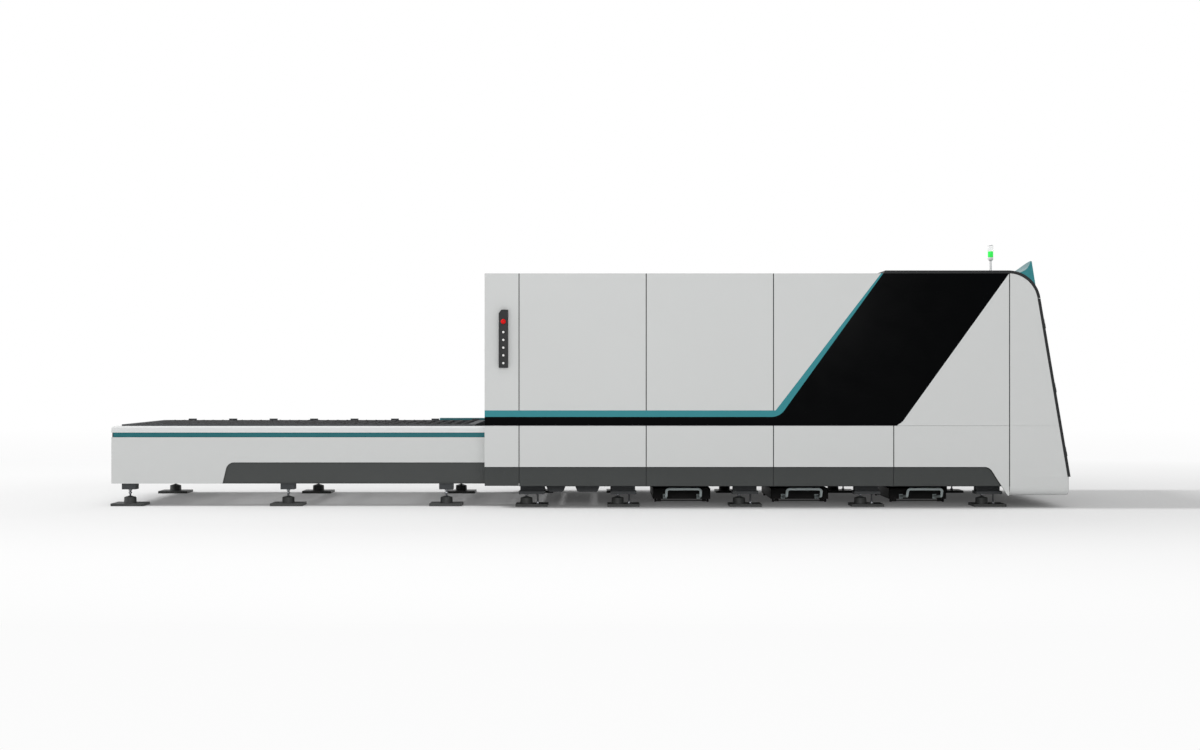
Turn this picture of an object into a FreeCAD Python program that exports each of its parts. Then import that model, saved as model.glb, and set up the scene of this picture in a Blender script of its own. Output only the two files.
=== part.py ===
# Fiber laser cutting machine with a parallel exchange table for 3 m x 1.5 m sheet.
# Millimetres. +X along the machine towards the operator end, +Y away from the side with the control box,
# +Z up. The origin is on the floor, on the centre plane, midway along the machine.
import FreeCAD
import Part
import math
import os

V = FreeCAD.Vector

# ---------------------------------------------------------------- driving dimensions: the whole machine
table_end_x = -4602.0
enclosure_end_x = -971.0
enclosure_half_width = 1380.0
table_half_width = 1080.0
table_skin_to_beam = 20.0
roof_top_z = 2234.0
sheet = 3.0
panel_depth = 30.0
seam_gap = 6.0
plate_joint = 2.0
joint_gap = 0.3
shaft_clearance = 0.08
wheel_sides = 16
small_sides = 10
thin_sides = 8
bolt_sides = 6
cart_wheel_sides = 12

# Bays between the vertical seams, from the exchange end to the operator end
end_bay = 328.0
bay_widths = (1211.0, 1212.0, 1145.0, 1103.0)
front_depth = 577.0

# Heights of the horizontal lines on the enclosure's side
skirt_bottom_z = 209.0
skirt_top_z = 390.0
band_bottom_z = 784.0
stripe_bottom_z = 867.0
stripe_top_z = 929.0
skirt_recess = 14.0
skirt_slant_inset = 190.0
skirt_slant = -0.636
skirt_fillet = 86.0

# Slanted stripe and window; a slant is the run in X for each millimetre of rise
stripe_slant = 0.769
window_left_slant = 0.722
window_right_slant = 0.719
stripe_knee_in_bay = 21.0
stripe_drop_in_bay = 58.0
window_corner_to_seam = 3.0
window_side_wedge = 22.0
stripe_bend = 150.0
window_bend = 130.0

# Sloped operator end
front_slant = 0.1685
front_foot_z = 297.0
front_bottom_z = 118.0
front_roll = 85.0
front_corner = 25.0
front_step = 24.0
front_frame_thickness = 28.0
front_lip = 40.0
apron_depth = 120.0
roof_bend = 282.0
roof_cap_thickness = 28.0
stile_width = 60.0
door_rail = 70.0
door_gap = 4.0
hinge_radius = 9.0
hinge_pin_radius = 5.0
hinge_length = 90.0
hinge_shares = (0.14, 0.5, 0.86)
hinge_to_face = 1.0
hinge_pin_short = 4.0
hinge_leaf_inset = 15.0
hinge_tab_gap = 4.0
hinge_tab_thickness = 4.0
hinge_tab_reach = 70.0
handle_radius = 11.0
handle_length = 420.0
handle_reach = 52.0
handle_from_middle = 70.0
handle_below_middle = 100.0
handle_stem_radius = 8.8
handle_stem_inset = 40.0

# Crest over the operator end
crest_rise = 90.0
crest_dip = 95.0
crest_toe = 101.0
crest_hollow = 14.0
crest_least = 3.0
crest_toe_angle = 0.367
crest_foot_angle = 0.984
crest_steps = 4
crest_stations = 9

# Feet
plate_length = 310.0
plate_width = 300.0
plate_thickness = 25.0
dome_radius = 58.0
dome_height = 68.0
stud_radius = 10.0
nut_radius = 18.0
nut_height = 14.0
bolt_radius = 8.5
dome_offset = 55.0
bracket_length = 250.0
bracket_thickness = 28.0
pedestal_height = 44.0
pedestal_inset = 12.0

# Bed
bed_base_z = 190.0
bed_beam_width = 130.0
bed_beam_top = 930.0
base_beam_height = 45.0
cross_beam_width = 100.0
outrigger_rise = 14.0
bed_foot_past_beam = 25.0
bed_foot_last_from_seam = 152.0
bed_foot_pitch = 1174.0
bed_foot_first_from_start = 114.0
bed_foot_count = 4
bed_past_last_foot = 134.0
trough_bottom = 137.0
trough_slant = 20.0
trough_round = 30.0
trough_start = 14.0
trough_lengths = (184.0, 234.0)
trough_apart = 96.0

# Gantry rails and racks
x_rail_inset = 42.0
x_rail_width = 35.0
x_rail_height = 30.0
rack_width = 26.0
rack_height = 28.0
rack_from_edge = 6.0

# Exchange table
table_panel_bottom = 215.0
table_panel_top = 663.0
cap_bottom_z = 709.0
cap_top_z = 769.0
cap_round = 20.0
cap_to_pallet = 6.0
cap_end_width = 50.0
cap_sheet = 4.0
cap_fold = 4.0
strip_recess = 16.0
inset_top_z = 420.0
inset_start = 1075.0
inset_slant = 0.24
inset_fillet = 80.0
inset_recess = 12.0
table_beam_width = 70.0
table_beam_bottom = 560.0
table_low_beam_top = 350.0
table_foot_first = 162.0
table_foot_pitch = 1537.5
table_foot_count = 3
table_foot_inset = 90.0
foot_block = 133.0
foot_block_height = 58.0
table_post_width = 100.0
table_cross_width = 80.0
table_cross_height = 80.0
stand_off_width = 60.0
guard_length = 620.0
guard_height = 34.0
guard_inner_inset = 20.0
guard_outer_inset = 8.0
guard_round = 24.0

# Pallets
pallet_start = 58.0
pallet_length = 3454.0
level_drop = 250.0
pallet_beam_width = 80.0
pallet_beam_top = 784.0
pallet_beam_height = 110.0
slat_top_z = 790.0
slat_height = 80.0
slat_thickness = 5.0
slat_first = 123.0
slat_pitch = 102.0
slat_teeth = 5
slat_tooth_depth = 14.0
comb_thickness = 12.0
comb_depth = 14.0
bearer_height = 20.0
bearer_width = 40.0
bearer_y = 400.0
crossbar_height = 60.0
crossbar_width = 50.0
crossbar_count = 5
stop_block_length = 80.0
stop_block_height = 16.0
stop_block_inset = 20.0
stop_block_count = 8
stop_block_first = 314.0
stop_block_last = 111.0

# Pallet wheels, rails, chain and sprockets
wheel_radius = 45.0
wheel_width = 33.0
wheel_to_pallet = 9.0
wheel_to_chain = 12.0
wheel_axle_radius = 12.0
wheel_from_end = 420.0
axle_z = 640.0
bracket_width = 26.0
wheel_bracket_length = 90.0
wheel_bracket_drop = 25.0
rail_thickness = 12.0
rail_past_wheel = 10.0
rail_past_pallet = 4.0
rail_to_cross_beam = 40.0
rail_notch_to_chain = 4.0
rail_notch_reach = 140.0
chain_to_beam = 10.0
chain_width = 20.0
chain_height = 14.0
chain_left_from_end = 182.0
drive_from_bed_end = 85.0
drive_to_pallet = 85.0
lug_from_end = 500.0
lug_length = 60.0
lug_thickness = 10.0
lug_rise = 36.0
lug_top = 58.0
lug_drop = 6.0
sprocket_width = 12.0
drive_shaft_radius = 20.0
drive_shaft_past_beam = 40.0
idler_axle_radius = 15.0
idler_axle_past_beam = 22.0
gearbox_length = 130.0
gearbox_inner_y = 600.0
gearbox_outer_y = 760.0
gearbox_rise = 70.0
geared_motor_length = 220.0
geared_motor_radius = 62.0
geared_motor_rise = 70.0

# Scrap hoppers and carts
hopper_top_z = 320.0
hopper_bottom_z = 148.0
hopper_half_length = 560.0
hopper_mouth_x = 255.0
hopper_mouth_y = 395.0
hopper_wall = 8.0
hopper_lip = 10.0
cart_half_length = 286.0
cart_half_width = 560.0
cart_bottom = 33.0
cart_top = 138.0
cart_sheet = 3.0
cart_wheel_radius = 15.0
cart_wheel_width = 22.0
cart_wheel_inset = 15.0
cart_axle_radius = 4.5
cart_axle_from_end = 60.0
cart_handle_length = 360.0
cart_handle_radius = 13.0
cart_handle_reach = 453.0
cart_handle_z = 157.0
cart_handle_knee_z = 85.0
cart_handle_lean = 50.0
cart_handle_foot_z = 59.0
cart_handle_bend = 30.0
cart_ear_length = 40.0
cart_ear_width = 36.0
cart_ear_drop = 9.0
cart_wheel_gap = 4.0

# Gantry, carriage and cutting head
gantry_x = 180.0
beam_width = 220.0
beam_height = 220.0
beam_bottom = 1040.0
end_block_length = 340.0
end_block_height = 210.0
end_block_past_rail = 33.0
end_block_past_beam = 10.0
bearing_length = 100.0
bearing_width = 64.0
bearing_inset = 5.0
bearing_roof = 34.0
bearing_to_beam = 8.0
pinion_radius = 32.0
pinion_shaft_radius = 8.0
pinion_shaft_inset = 2.0
motor_size = 80.0
motor_length = 140.0
rail_clearance = 5.0
y_rail_size = 22.0
y_rail_inset = 40.0
y_rail_from_end = 60.0
carriage_width = 240.0
carriage_height = 360.0
carriage_thickness = 22.0
carriage_below_beam = 20.0
carriage_to_rail = 22.0
shoe_length = 80.0
shoe_height = 48.0
shoe_inset = 5.0
shoe_to_beam = 6.0
z_rail_size = 16.0
z_rail_spacing = 80.0
z_rail_inset = 10.0
z_motor_size = 70.0
z_motor_height = 134.0
z_motor_plate_width = 120.0
z_motor_plate_thickness = 16.0
z_motor_overlap = 10.0
head_plate_width = 120.0
head_plate_length = 390.0
head_plate_thickness = 22.0
head_plate_below_carriage = 8.0
head_body_width = 90.0
head_body_depth = 100.0
head_body_height = 300.0
collar_radius = 30.0
collar_height = 30.0
cone_radius = 9.0
cone_height = 55.0
nozzle_radius = 6.0
nozzle_length = 15.0
nozzle_z = 835.0

# Deck with the laser source and the electrical cabinet
deck_top = 1260.0
deck_depth = 40.0
deck_margin = 40.0
deck_to_gantry = 70.0
cabinet_margin = 20.0
cabinet_to_frame = 60.0
cabinet_from_centre = 80.0
source_height = 420.0
cabinet_height = 700.0

# Enclosure frame and fittings
post_size = 60.0
foot_tube_rise = 3.0
head_tube_drop = 60.0
port_past_table = 15.0
port_top_z = 860.0
end_panel_gap = 3.0
table_to_enclosure = 3.0
box_left = 137.0
box_width = 88.0
box_height = 553.0
box_bottom = 1334.0
box_depth = 45.0
box_chamfer_x = 26.0
box_chamfer_z = 32.0
box_round = 6.0
estop_z = 1774.0
estop_radius = 24.0
estop_height = 22.0
estop_stroke = 10.0
estop_stem_radius = 9.6
estop_stem_depth = 18.0
estop_hole_depth = 26.0
button_top_z = 1673.0
button_pitch = 73.5
button_count = 5
button_radius = 11.0
button_proud = 7.0
button_depth = 10.0
button_hole_depth = 16.0
bezel_radius = 17.0
bezel_height = 3.0
lamp_x = 3986.0
lamp_y = -700.0
lamp_radius = 26.0
lamp_pole_radius = 11.0
lamp_pole_height = 132.0
lamp_segment = 58.0
lamp_base = 34.0
lamp_foot_radius = 36.0
lamp_foot_height = 8.0
lamp_cap_radius = 15.6
lamp_cap_height = 10.0

# ---------------------------------------------------------------- places worked out from them
seams = [enclosure_end_x + end_bay]
for width in bay_widths:
    seams.append(seams[-1] + width)
first_seam = seams[0]
front_seam = seams[-1]
front_toe_x = front_seam + front_depth
frame_outer = enclosure_half_width - panel_depth
frame_inner = frame_outer - post_size
front_lean = math.atan(front_slant)
roof_tangent = math.tan((math.pi / 2 - front_lean) / 2)
cap_end_z = math.floor(roof_top_z - roof_bend * roof_tangent * math.cos(front_lean))
front_head_z = cap_end_z - seam_gap / 2

table_beam_outer = table_half_width - table_skin_to_beam
table_beam_inner = table_beam_outer - table_beam_width
table_foot_y = table_half_width - table_foot_inset
table_x1 = enclosure_end_x - table_to_enclosure
bed_beam_inner = table_beam_inner
chain_y = table_beam_inner - chain_to_beam - chain_width
wheel_y = chain_y - wheel_to_chain - wheel_width
pallet_half_width = wheel_y - wheel_to_pallet
pallet_beam_y = pallet_half_width - pallet_beam_width
rail_inner = wheel_y - rail_past_wheel
rail_notch_y = chain_y - rail_notch_to_chain
cap_inner = pallet_half_width + cap_to_pallet
port_half_width = table_half_width + port_past_table

cap_top_face = roof_top_z + roof_cap_thickness
cap_corner_x = front_toe_x - front_step + front_slant * (front_foot_z - cap_top_face)
cap_outer_x = cap_corner_x + roof_cap_thickness / math.cos(front_lean)
cap_corner = (cap_outer_x, cap_top_face, roof_bend + roof_cap_thickness)
left_edges = [enclosure_end_x] + [x + seam_gap / 2 for x in seams[:-1]]
right_edges = [x - seam_gap / 2 for x in seams]

door_opening_y = enclosure_half_width - stile_width
hinge_y = door_opening_y - door_gap / 2
hinge_offset = front_frame_thickness + hinge_radius + hinge_to_face
hinge_zs = [front_foot_z + (front_head_z - front_foot_z) * share for share in hinge_shares]

last_foot = front_seam - bed_foot_last_from_seam
pitched_feet = [last_foot - bed_foot_pitch * i for i in reversed(range(bed_foot_count))]
bed_feet = [first_seam + bed_foot_first_from_start] + pitched_feet
cart_centres = [(a + b) / 2 for a, b in zip(pitched_feet, pitched_feet[1:])]
bed_start = first_seam
bed_end = last_foot + bed_past_last_foot
bed_beam_outer = bed_beam_inner + bed_beam_width
cart_ear_x = cart_half_length - cart_wheel_inset - cart_wheel_width - cart_wheel_gap
bed_foot_y = bed_beam_inner + bed_beam_width / 2 + bed_foot_past_beam
bracket_top = bed_base_z - pedestal_height
bracket_bottom = bracket_top - bracket_thickness
base_top = bed_base_z + base_beam_height

table_feet = [table_end_x + table_foot_first + table_foot_pitch * i for i in range(table_foot_count)]
foot_block_bottom = table_panel_bottom - foot_block_height

pallet_x0 = table_end_x + pallet_start
pallet_x1 = pallet_x0 + pallet_length
chain_left_x = table_end_x + chain_left_from_end
chain_right_x = bed_end - drive_from_bed_end
pallet_travel = chain_right_x - drive_to_pallet - pallet_x1
wheel_xs = (pallet_x0 + wheel_from_end, pallet_x1 - wheel_from_end)
rail_top = axle_z - wheel_radius - joint_gap
slat_count = int((pallet_length - 2 * slat_first) // slat_pitch) + 1
slat_bottom = slat_top_z - slat_height
bearer_bottom = slat_bottom - bearer_height
crossbar_bottom = bearer_bottom - crossbar_height
beam_bottom_z = pallet_beam_top - pallet_beam_height
chain_radius = level_drop / 2
sprocket_z = axle_z - chain_radius
sprocket_radius = (chain_radius - chain_height / 2) * math.cos(math.pi / wheel_sides) - joint_gap

x_rail_y = bed_beam_inner + x_rail_inset
rack_y = bed_beam_outer - rack_width / 2 - rack_from_edge
pinion_z = bed_beam_top + rack_height + pinion_radius + joint_gap
rail_top_z = bed_beam_top + x_rail_height
bearing_top = rail_top_z + joint_gap + bearing_roof
beam_x1 = gantry_x + beam_width / 2
y_rail_zs = (beam_bottom + y_rail_inset, beam_bottom + beam_height - y_rail_inset)
plate_x0 = beam_x1 + y_rail_size + carriage_to_rail
plate_x1 = plate_x0 + carriage_thickness
carriage_top_z = beam_bottom - carriage_below_beam + carriage_height


# ---------------------------------------------------------------- shape helpers
def block(x0, x1, y0, y1, z0, z1):
    """Box between two corners given as ranges."""
    return Part.makeBox(x1 - x0, y1 - y0, z1 - z0, V(x0, y0, z0))


def bar(start, end, radius, sides=small_sides, first_corner=0.5):
    """Straight bar whose section is a regular polygon with its corners on the radius."""
    axis = end - start
    helper = V(0, 0, 1) if abs(axis.z) < 0.9 * axis.Length else V(1, 0, 0)
    across = axis.cross(helper).normalize()
    up = axis.cross(across).normalize()
    ring = []
    for i in range(sides):
        turn = 2 * math.pi * (i + first_corner) / sides
        ring.append(start + across * (radius * math.cos(turn)) + up * (radius * math.sin(turn)))
    return Part.Face(Part.makePolygon(ring + ring[:1])).extrude(axis)


def rod_x(x0, x1, y, z, radius, sides=small_sides):
    """Bar along X."""
    return bar(V(x0, y, z), V(x1, y, z), radius, sides)


def rod_y(x, y0, y1, z, radius, sides=small_sides):
    """Bar along Y."""
    return bar(V(x, y0, z), V(x, y1, z), radius, sides)


def rod_z(x, y, z0, z1, radius, sides=small_sides):
    """Bar along Z."""
    return bar(V(x, y, z0), V(x, y, z1), radius, sides)


def bore(start, end, shaft_radius, sides=small_sides):
    """Hole between two points in which a shaft of the given radius turns freely."""
    return bar(start, end, (shaft_radius + shaft_clearance) / math.cos(math.pi / sides), sides, 0.0)


def bore_y(x, y0, y1, z, shaft_radius, sides=small_sides):
    """Hole along Y in which a shaft of the given radius turns freely, flats facing the shaft's corners."""
    return bore(V(x, y0, z), V(x, y1, z), shaft_radius, sides)


def rounded_wire(corners, place):
    """Closed wire through corners (u, v) or (u, v, radius); place turns (u, v) into a point."""
    points = [(c[0], c[1], c[2] if len(c) > 2 else 0.0) for c in corners]
    count = len(points)
    edges = []
    turns = []
    for i, (u, v, radius) in enumerate(points):
        if radius == 0:
            turns.append(((u, v), None, (u, v)))
            continue
        before = points[i - 1]
        after = points[(i + 1) % count]
        towards_before = math.atan2(before[1] - v, before[0] - u)
        towards_after = math.atan2(after[1] - v, after[0] - u)
        half = abs(math.remainder(towards_after - towards_before, 2 * math.pi)) / 2
        middle = towards_before + math.remainder(towards_after - towards_before, 2 * math.pi) / 2
        reach = radius / math.tan(half)
        to_crown = radius / math.sin(half) - radius
        start = (u + reach * math.cos(towards_before), v + reach * math.sin(towards_before))
        crown = (u + to_crown * math.cos(middle), v + to_crown * math.sin(middle))
        end = (u + reach * math.cos(towards_after), v + reach * math.sin(towards_after))
        turns.append((start, crown, end))
    for i, (start, crown, end) in enumerate(turns):
        if crown is not None:
            edges.append(Part.Arc(place(*start), place(*crown), place(*end)).toShape())
        next_start = turns[(i + 1) % count][0]
        if math.dist(end, next_start) > 1e-6:
            edges.append(Part.LineSegment(place(*end), place(*next_start)).toShape())
    return Part.Wire(edges)


def prism_xz(corners, y0, y1):
    """Outline in the XZ plane, extruded from y0 to y1."""
    wire = rounded_wire(corners, lambda x, z: V(x, y0, z))
    return Part.Face(wire).extrude(V(0, y1 - y0, 0))


def prism_yz(corners, x0, x1):
    """Outline in the YZ plane, extruded from x0 to x1."""
    wire = rounded_wire(corners, lambda y, z: V(x0, y, z))
    return Part.Face(wire).extrude(V(x1 - x0, 0, 0))


def prism_xy(corners, z0, z1):
    """Outline in the XY plane, extruded from z0 to z1."""
    wire = rounded_wire(corners, lambda x, y: V(x, y, z0))
    return Part.Face(wire).extrude(V(0, 0, z1 - z0))


def stacked(rings):
    """Flat-sided solid through rings of points, each ring joined to the next by four-cornered faces."""
    faces = [Part.Face(Part.makePolygon(ring + ring[:1])) for ring in (rings[0], rings[-1])]
    for low, high in zip(rings, rings[1:]):
        for i in range(len(low)):
            j = (i + 1) % len(low)
            faces.append(Part.Face(Part.makePolygon([low[i], low[j], high[j], high[i], low[i]])))
    solid = Part.Solid(Part.Shell(faces))
    if solid.Volume < 0:
        solid.reverse()
    return solid


def stacked_triangles(rings):
    """Solid through rings of points whose sides twist, each side split into two triangles."""
    faces = [Part.Face(Part.makePolygon(ring + ring[:1])) for ring in (rings[0], rings[-1])]
    for low, high in zip(rings, rings[1:]):
        for i in range(len(low)):
            j = (i + 1) % len(low)
            faces.append(Part.Face(Part.makePolygon([low[i], low[j], high[i], low[i]])))
            faces.append(Part.Face(Part.makePolygon([low[j], high[j], high[i], low[j]])))
    solid = Part.Solid(Part.Shell(faces))
    if solid.Volume < 0:
        solid.reverse()
    return solid


def turned_z(x, y, steps, sides=small_sides):
    """Many-sided solid around a vertical axis; steps are (height, radius) from the bottom up."""
    rings = []
    for z, radius in steps:
        turns = [2 * math.pi * (i + 0.5) / sides for i in range(sides)]
        rings.append([V(x + radius * math.cos(turn), y + radius * math.sin(turn), z) for turn in turns])
    return stacked(rings)


def mirrored(shape):
    """The same piece on the other side of the centre plane."""
    return shape.mirror(V(0, 0, 0), V(0, 1, 0))


def both_sides(shapes):
    """Pieces of the near side with their mirror images on the far side."""
    return list(shapes) + [mirrored(shape) for shape in shapes]


def face_xz(corners, y):
    """Flat face in the XZ plane at y."""
    return Part.Face(rounded_wire(corners, lambda x, z: V(x, y, z)))


def folded_panel(outline, skin_y, depth=panel_depth):
    """Panel on the near side: skin in the XZ plane at skin_y with its edges folded inwards.

    The outline is a list of corners or a flat face at skin_y."""
    face = outline if isinstance(outline, Part.Shape) else face_xz(outline, skin_y)
    outer = face.extrude(V(0, depth, 0))
    inner_face = Part.Face(face.Faces[0].OuterWire.makeOffset2D(-sheet))
    inner_face.translate(V(0, sheet, 0))
    return outer.cut(inner_face.extrude(V(0, depth, 0)))


def flat_tray(x0, x1, y0, y1, top_z, depth=panel_depth):
    """Roof or deck panel: skin on top with its edges folded down."""
    outer = block(x0, x1, y0, y1, top_z - depth, top_z)
    inner = block(x0 + sheet, x1 - sheet, y0 + sheet, y1 - sheet, top_z - depth, top_z - sheet)
    return outer.cut(inner)


def wall_tray(y0, y1, z0, z1, skin_x, depth=panel_depth):
    """End panel: skin facing -X at skin_x with its edges folded inwards."""
    outer = block(skin_x, skin_x + depth, y0, y1, z0, z1)
    inner = block(skin_x + sheet, skin_x + depth, y0 + sheet, y1 - sheet, z0 + sheet, z1 - sheet)
    return outer.cut(inner)


def front_x(z):
    """X of the cheeks' sloped front edge at height z."""
    return front_toe_x - front_step + front_slant * (front_foot_z - z)


def sloped_slab(y0, y1, z0, z1, offset=0.0, thickness=front_frame_thickness):
    """Piece of the sloped front between two heights, offset outwards from the cheeks' edge."""
    corners = [
        (front_x(z0) + offset, z0),
        (front_x(z0) + offset + thickness, z0),
        (front_x(z1) + offset + thickness, z1),
        (front_x(z1) + offset, z1),
    ]
    return prism_xz(corners, y0, y1)


def along_front(z0, z1, y, offset, radius, sides=small_sides):
    """Bar parallel to the sloped front."""
    return bar(V(front_x(z0) + offset, y, z0), V(front_x(z1) + offset, y, z1), radius, sides)


def centred(x, half_length, y0, y1, z0, z1):
    """Box whose length runs to both sides of x."""
    return block(x - half_length, x + half_length, y0, y1, z0, z1)


def export(node, solids):
    """Write one node's solids to its STEP file."""
    shape = solids[0] if len(solids) == 1 else Part.makeCompound(solids)
    if not shape.isValid():
        print("not valid:", node)
    shape.exportStep("parts/" + node + ".step")
    print(node, len(shape.Solids), round(shape.Volume / 1e6, 2), "litres")


# ---------------------------------------------------------------- feet
def floor_plate(x, y):
    """Square plate on the floor under one foot."""
    return block(
        x - plate_length / 2, x + plate_length / 2, y - plate_width / 2, y + plate_width / 2, 0,
        plate_thickness
    )


def levelling_foot(x, y, top_z):
    """Domed foot and screw with its hexagon between a floor plate and the frame above it."""
    shoulder_z = plate_thickness + dome_height * 0.55
    dome_top = plate_thickness + dome_height
    steps = [(plate_thickness, dome_radius), (shoulder_z, dome_radius * 0.85), (dome_top, stud_radius * 1.6)]
    dome = turned_z(x, y, steps, thin_sides)
    stud = rod_z(x, y, dome_top, top_z - nut_height, stud_radius, bolt_sides)
    nut = rod_z(x, y, top_z - nut_height, top_z, nut_radius, bolt_sides)
    return [dome, stud.fuse(nut)]


def make_feet():
    """Floor plates, levelling feet and anchor bolts under the bed and the table."""
    plates = []
    feet = []
    for x in bed_feet:
        plates.append(floor_plate(x, -bed_foot_y))
        feet += levelling_foot(x - dome_offset, -bed_foot_y, bracket_bottom)
        feet.append(rod_z(x + dome_offset, -bed_foot_y, plate_thickness, bracket_bottom, bolt_radius,
                          bolt_sides))
    for x in table_feet:
        plates.append(floor_plate(x, -table_foot_y))
        feet += levelling_foot(x, -table_foot_y, foot_block_bottom)
    export("floor_plates", both_sides(plates))
    export("levelling_feet", both_sides(feet))


# ---------------------------------------------------------------- bed
def make_bed():
    """Welded bed: side beams on base beams, cross beams, outriggers for the enclosure and foot brackets."""
    near = []
    side = block(bed_start, bed_end, -bed_beam_outer, -bed_beam_inner, base_top, bed_beam_top)
    hole = bore_y(chain_right_x, -bed_beam_outer, -bed_beam_inner, sprocket_z, drive_shaft_radius)
    near.append(side.cut(hole))
    near.append(block(bed_start, bed_end, -bed_beam_outer, -bed_beam_inner, bed_base_z, base_top))
    for x in bed_feet:
        near.append(centred(x, bracket_length / 2, -bed_foot_y - plate_width / 3,
                            -bed_foot_y + plate_width / 3, bracket_bottom, bracket_top))
        near.append(centred(x, bracket_length / 2 - pedestal_inset, -bed_beam_outer, -bed_beam_inner,
                            bracket_top, bed_base_z))
    for x in seams:
        arm_x = min(max(x, bed_start + post_size / 2), bed_end - post_size / 2)
        near.append(centred(arm_x, post_size / 2, -frame_outer, -bed_beam_outer, bed_base_z + outrigger_rise,
                            base_top))
    solids = both_sides(near)
    for x in bed_feet:
        solids.append(centred(x, cross_beam_width / 2, -bed_beam_inner, bed_beam_inner, bed_base_z, base_top))
    end_beam = block(bed_end - cross_beam_width, bed_end, -bed_beam_inner, bed_beam_inner, base_top,
                     hopper_top_z)
    export("bed_frame", solids + [end_beam] + cross_troughs())


def cross_troughs():
    """Shallow troughs with slanted ends under the base beams of the first bay."""
    troughs = []
    x0 = bed_feet[0] + bracket_length / 2 + trough_start
    for length in trough_lengths:
        x1 = x0 + length
        troughs.append(prism_xz([
            (x0, bed_base_z), (x0 + trough_slant, trough_bottom, trough_round),
            (x1 - trough_slant, trough_bottom, trough_round), (x1, bed_base_z),
        ], -bed_beam_outer, bed_beam_outer))
        x0 = x1 + trough_apart
    return troughs


def make_gantry_rails():
    """Linear rails and racks on top of the bed's side beams."""
    near = []
    for y, half, height in ((x_rail_y, x_rail_width / 2, x_rail_height),
                            (rack_y, rack_width / 2, rack_height)):
        near.append(block(bed_start, bed_end, -y - half, -y + half, bed_beam_top, bed_beam_top + height))
    export("gantry_rails", both_sides(near))


def rectangle(centre, half_x, half_y, z):
    """Corners of a level rectangle around the machine's centre plane."""
    turns = ((-1, -1), (1, -1), (1, 1), (-1, 1))
    return [V(centre + side_x * half_x, side_y * half_y, z) for side_x, side_y in turns]


def make_hoppers():
    """Sloped sheet funnels that lead scrap from the pallet down to each cart."""
    top_y = bed_beam_inner
    plates = []
    for centre in cart_centres:
        outer_low = rectangle(centre, hopper_mouth_x, hopper_mouth_y, hopper_bottom_z)
        outer_high = rectangle(centre, hopper_half_length, top_y, hopper_top_z)
        inner_low = rectangle(centre, hopper_mouth_x - hopper_wall, hopper_mouth_y - hopper_wall,
                              hopper_bottom_z)
        inner_high = rectangle(centre, hopper_half_length - hopper_wall, top_y - hopper_wall, hopper_top_z)
        for i in range(4):
            j = (i + 1) % 4
            low = [outer_low[i], outer_low[j], inner_low[j], inner_low[i]]
            high = [outer_high[i], outer_high[j], inner_high[j], inner_high[i]]
            plates.append(stacked([low, high]))
        lip = centred(centre, hopper_half_length, -top_y, -top_y + hopper_wall, hopper_top_z,
                      hopper_top_z + hopper_lip)
        plates += both_sides([lip])
    export("scrap_hoppers", plates)


def make_pallet_rails():
    """Flat rails for the pallet wheels on two levels, narrower where the upper ones pass the sprockets."""
    spans = (
        (pallet_x0 - rail_past_pallet, first_seam, -table_beam_inner),
        (first_seam, bed_end - cross_beam_width - rail_to_cross_beam, -bed_beam_inner),
    )
    rails = []
    for top in (rail_top, rail_top - level_drop):
        for x0, x1, outer_y in spans:
            rail = block(x0, x1, outer_y, -rail_inner, top - rail_thickness, top)
            if top == rail_top:
                for x in (chain_left_x, chain_right_x):
                    rail = rail.cut(centred(x, rail_notch_reach, outer_y, -rail_notch_y, top - rail_thickness,
                                            top))
            rails.append(rail)
    export("pallet_rails", both_sides(rails))


# ---------------------------------------------------------------- exchange table
def make_table_frame():
    """Welded frame of the exchange table, standing on six levelling feet and reaching to the bed."""
    x0 = table_end_x + cap_sheet
    x1 = first_seam
    near = [
        block(x0 + cap_end_width, x1, -table_beam_outer, -table_beam_inner, table_beam_bottom, cap_bottom_z),
        block(x0 + cap_end_width, x1, -table_beam_outer, -table_beam_inner, table_panel_bottom,
              table_low_beam_top),
    ]
    hole = bore_y(chain_left_x, -table_beam_outer, -table_beam_inner, sprocket_z, idler_axle_radius)
    for x in table_feet:
        post = centred(x, table_post_width / 2, -table_beam_outer, -table_beam_inner, table_low_beam_top,
                       table_beam_bottom)
        near.append(post.cut(hole))
        near.append(centred(x, foot_block / 2, -table_foot_y - foot_block / 2, -table_foot_y + foot_block / 2,
                            foot_block_bottom, table_panel_bottom))
    solids = both_sides(near)
    for x in table_feet:
        solids.append(centred(x, table_cross_width / 2, -table_beam_inner, table_beam_inner,
                              table_panel_bottom, table_panel_bottom + table_cross_height))
    for z0, z1 in ((table_panel_bottom, table_low_beam_top), (table_panel_top, cap_bottom_z)):
        solids.append(block(x0, x0 + cap_end_width, -table_beam_outer, table_beam_outer, z0, z1))
    export("table_frame", solids)


def inset_corners(margin):
    """Outline of the dark inset under the table's side, from its slanted end to the enclosure."""
    start = table_end_x + inset_start
    slant_top = start + inset_slant * (inset_top_z - table_panel_bottom)
    return [
        (start - margin, table_panel_bottom - margin),
        (table_x1, table_panel_bottom - margin),
        (table_x1, inset_top_z + margin),
        (slant_top + margin, inset_top_z + margin, inset_fillet),
    ]


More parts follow.
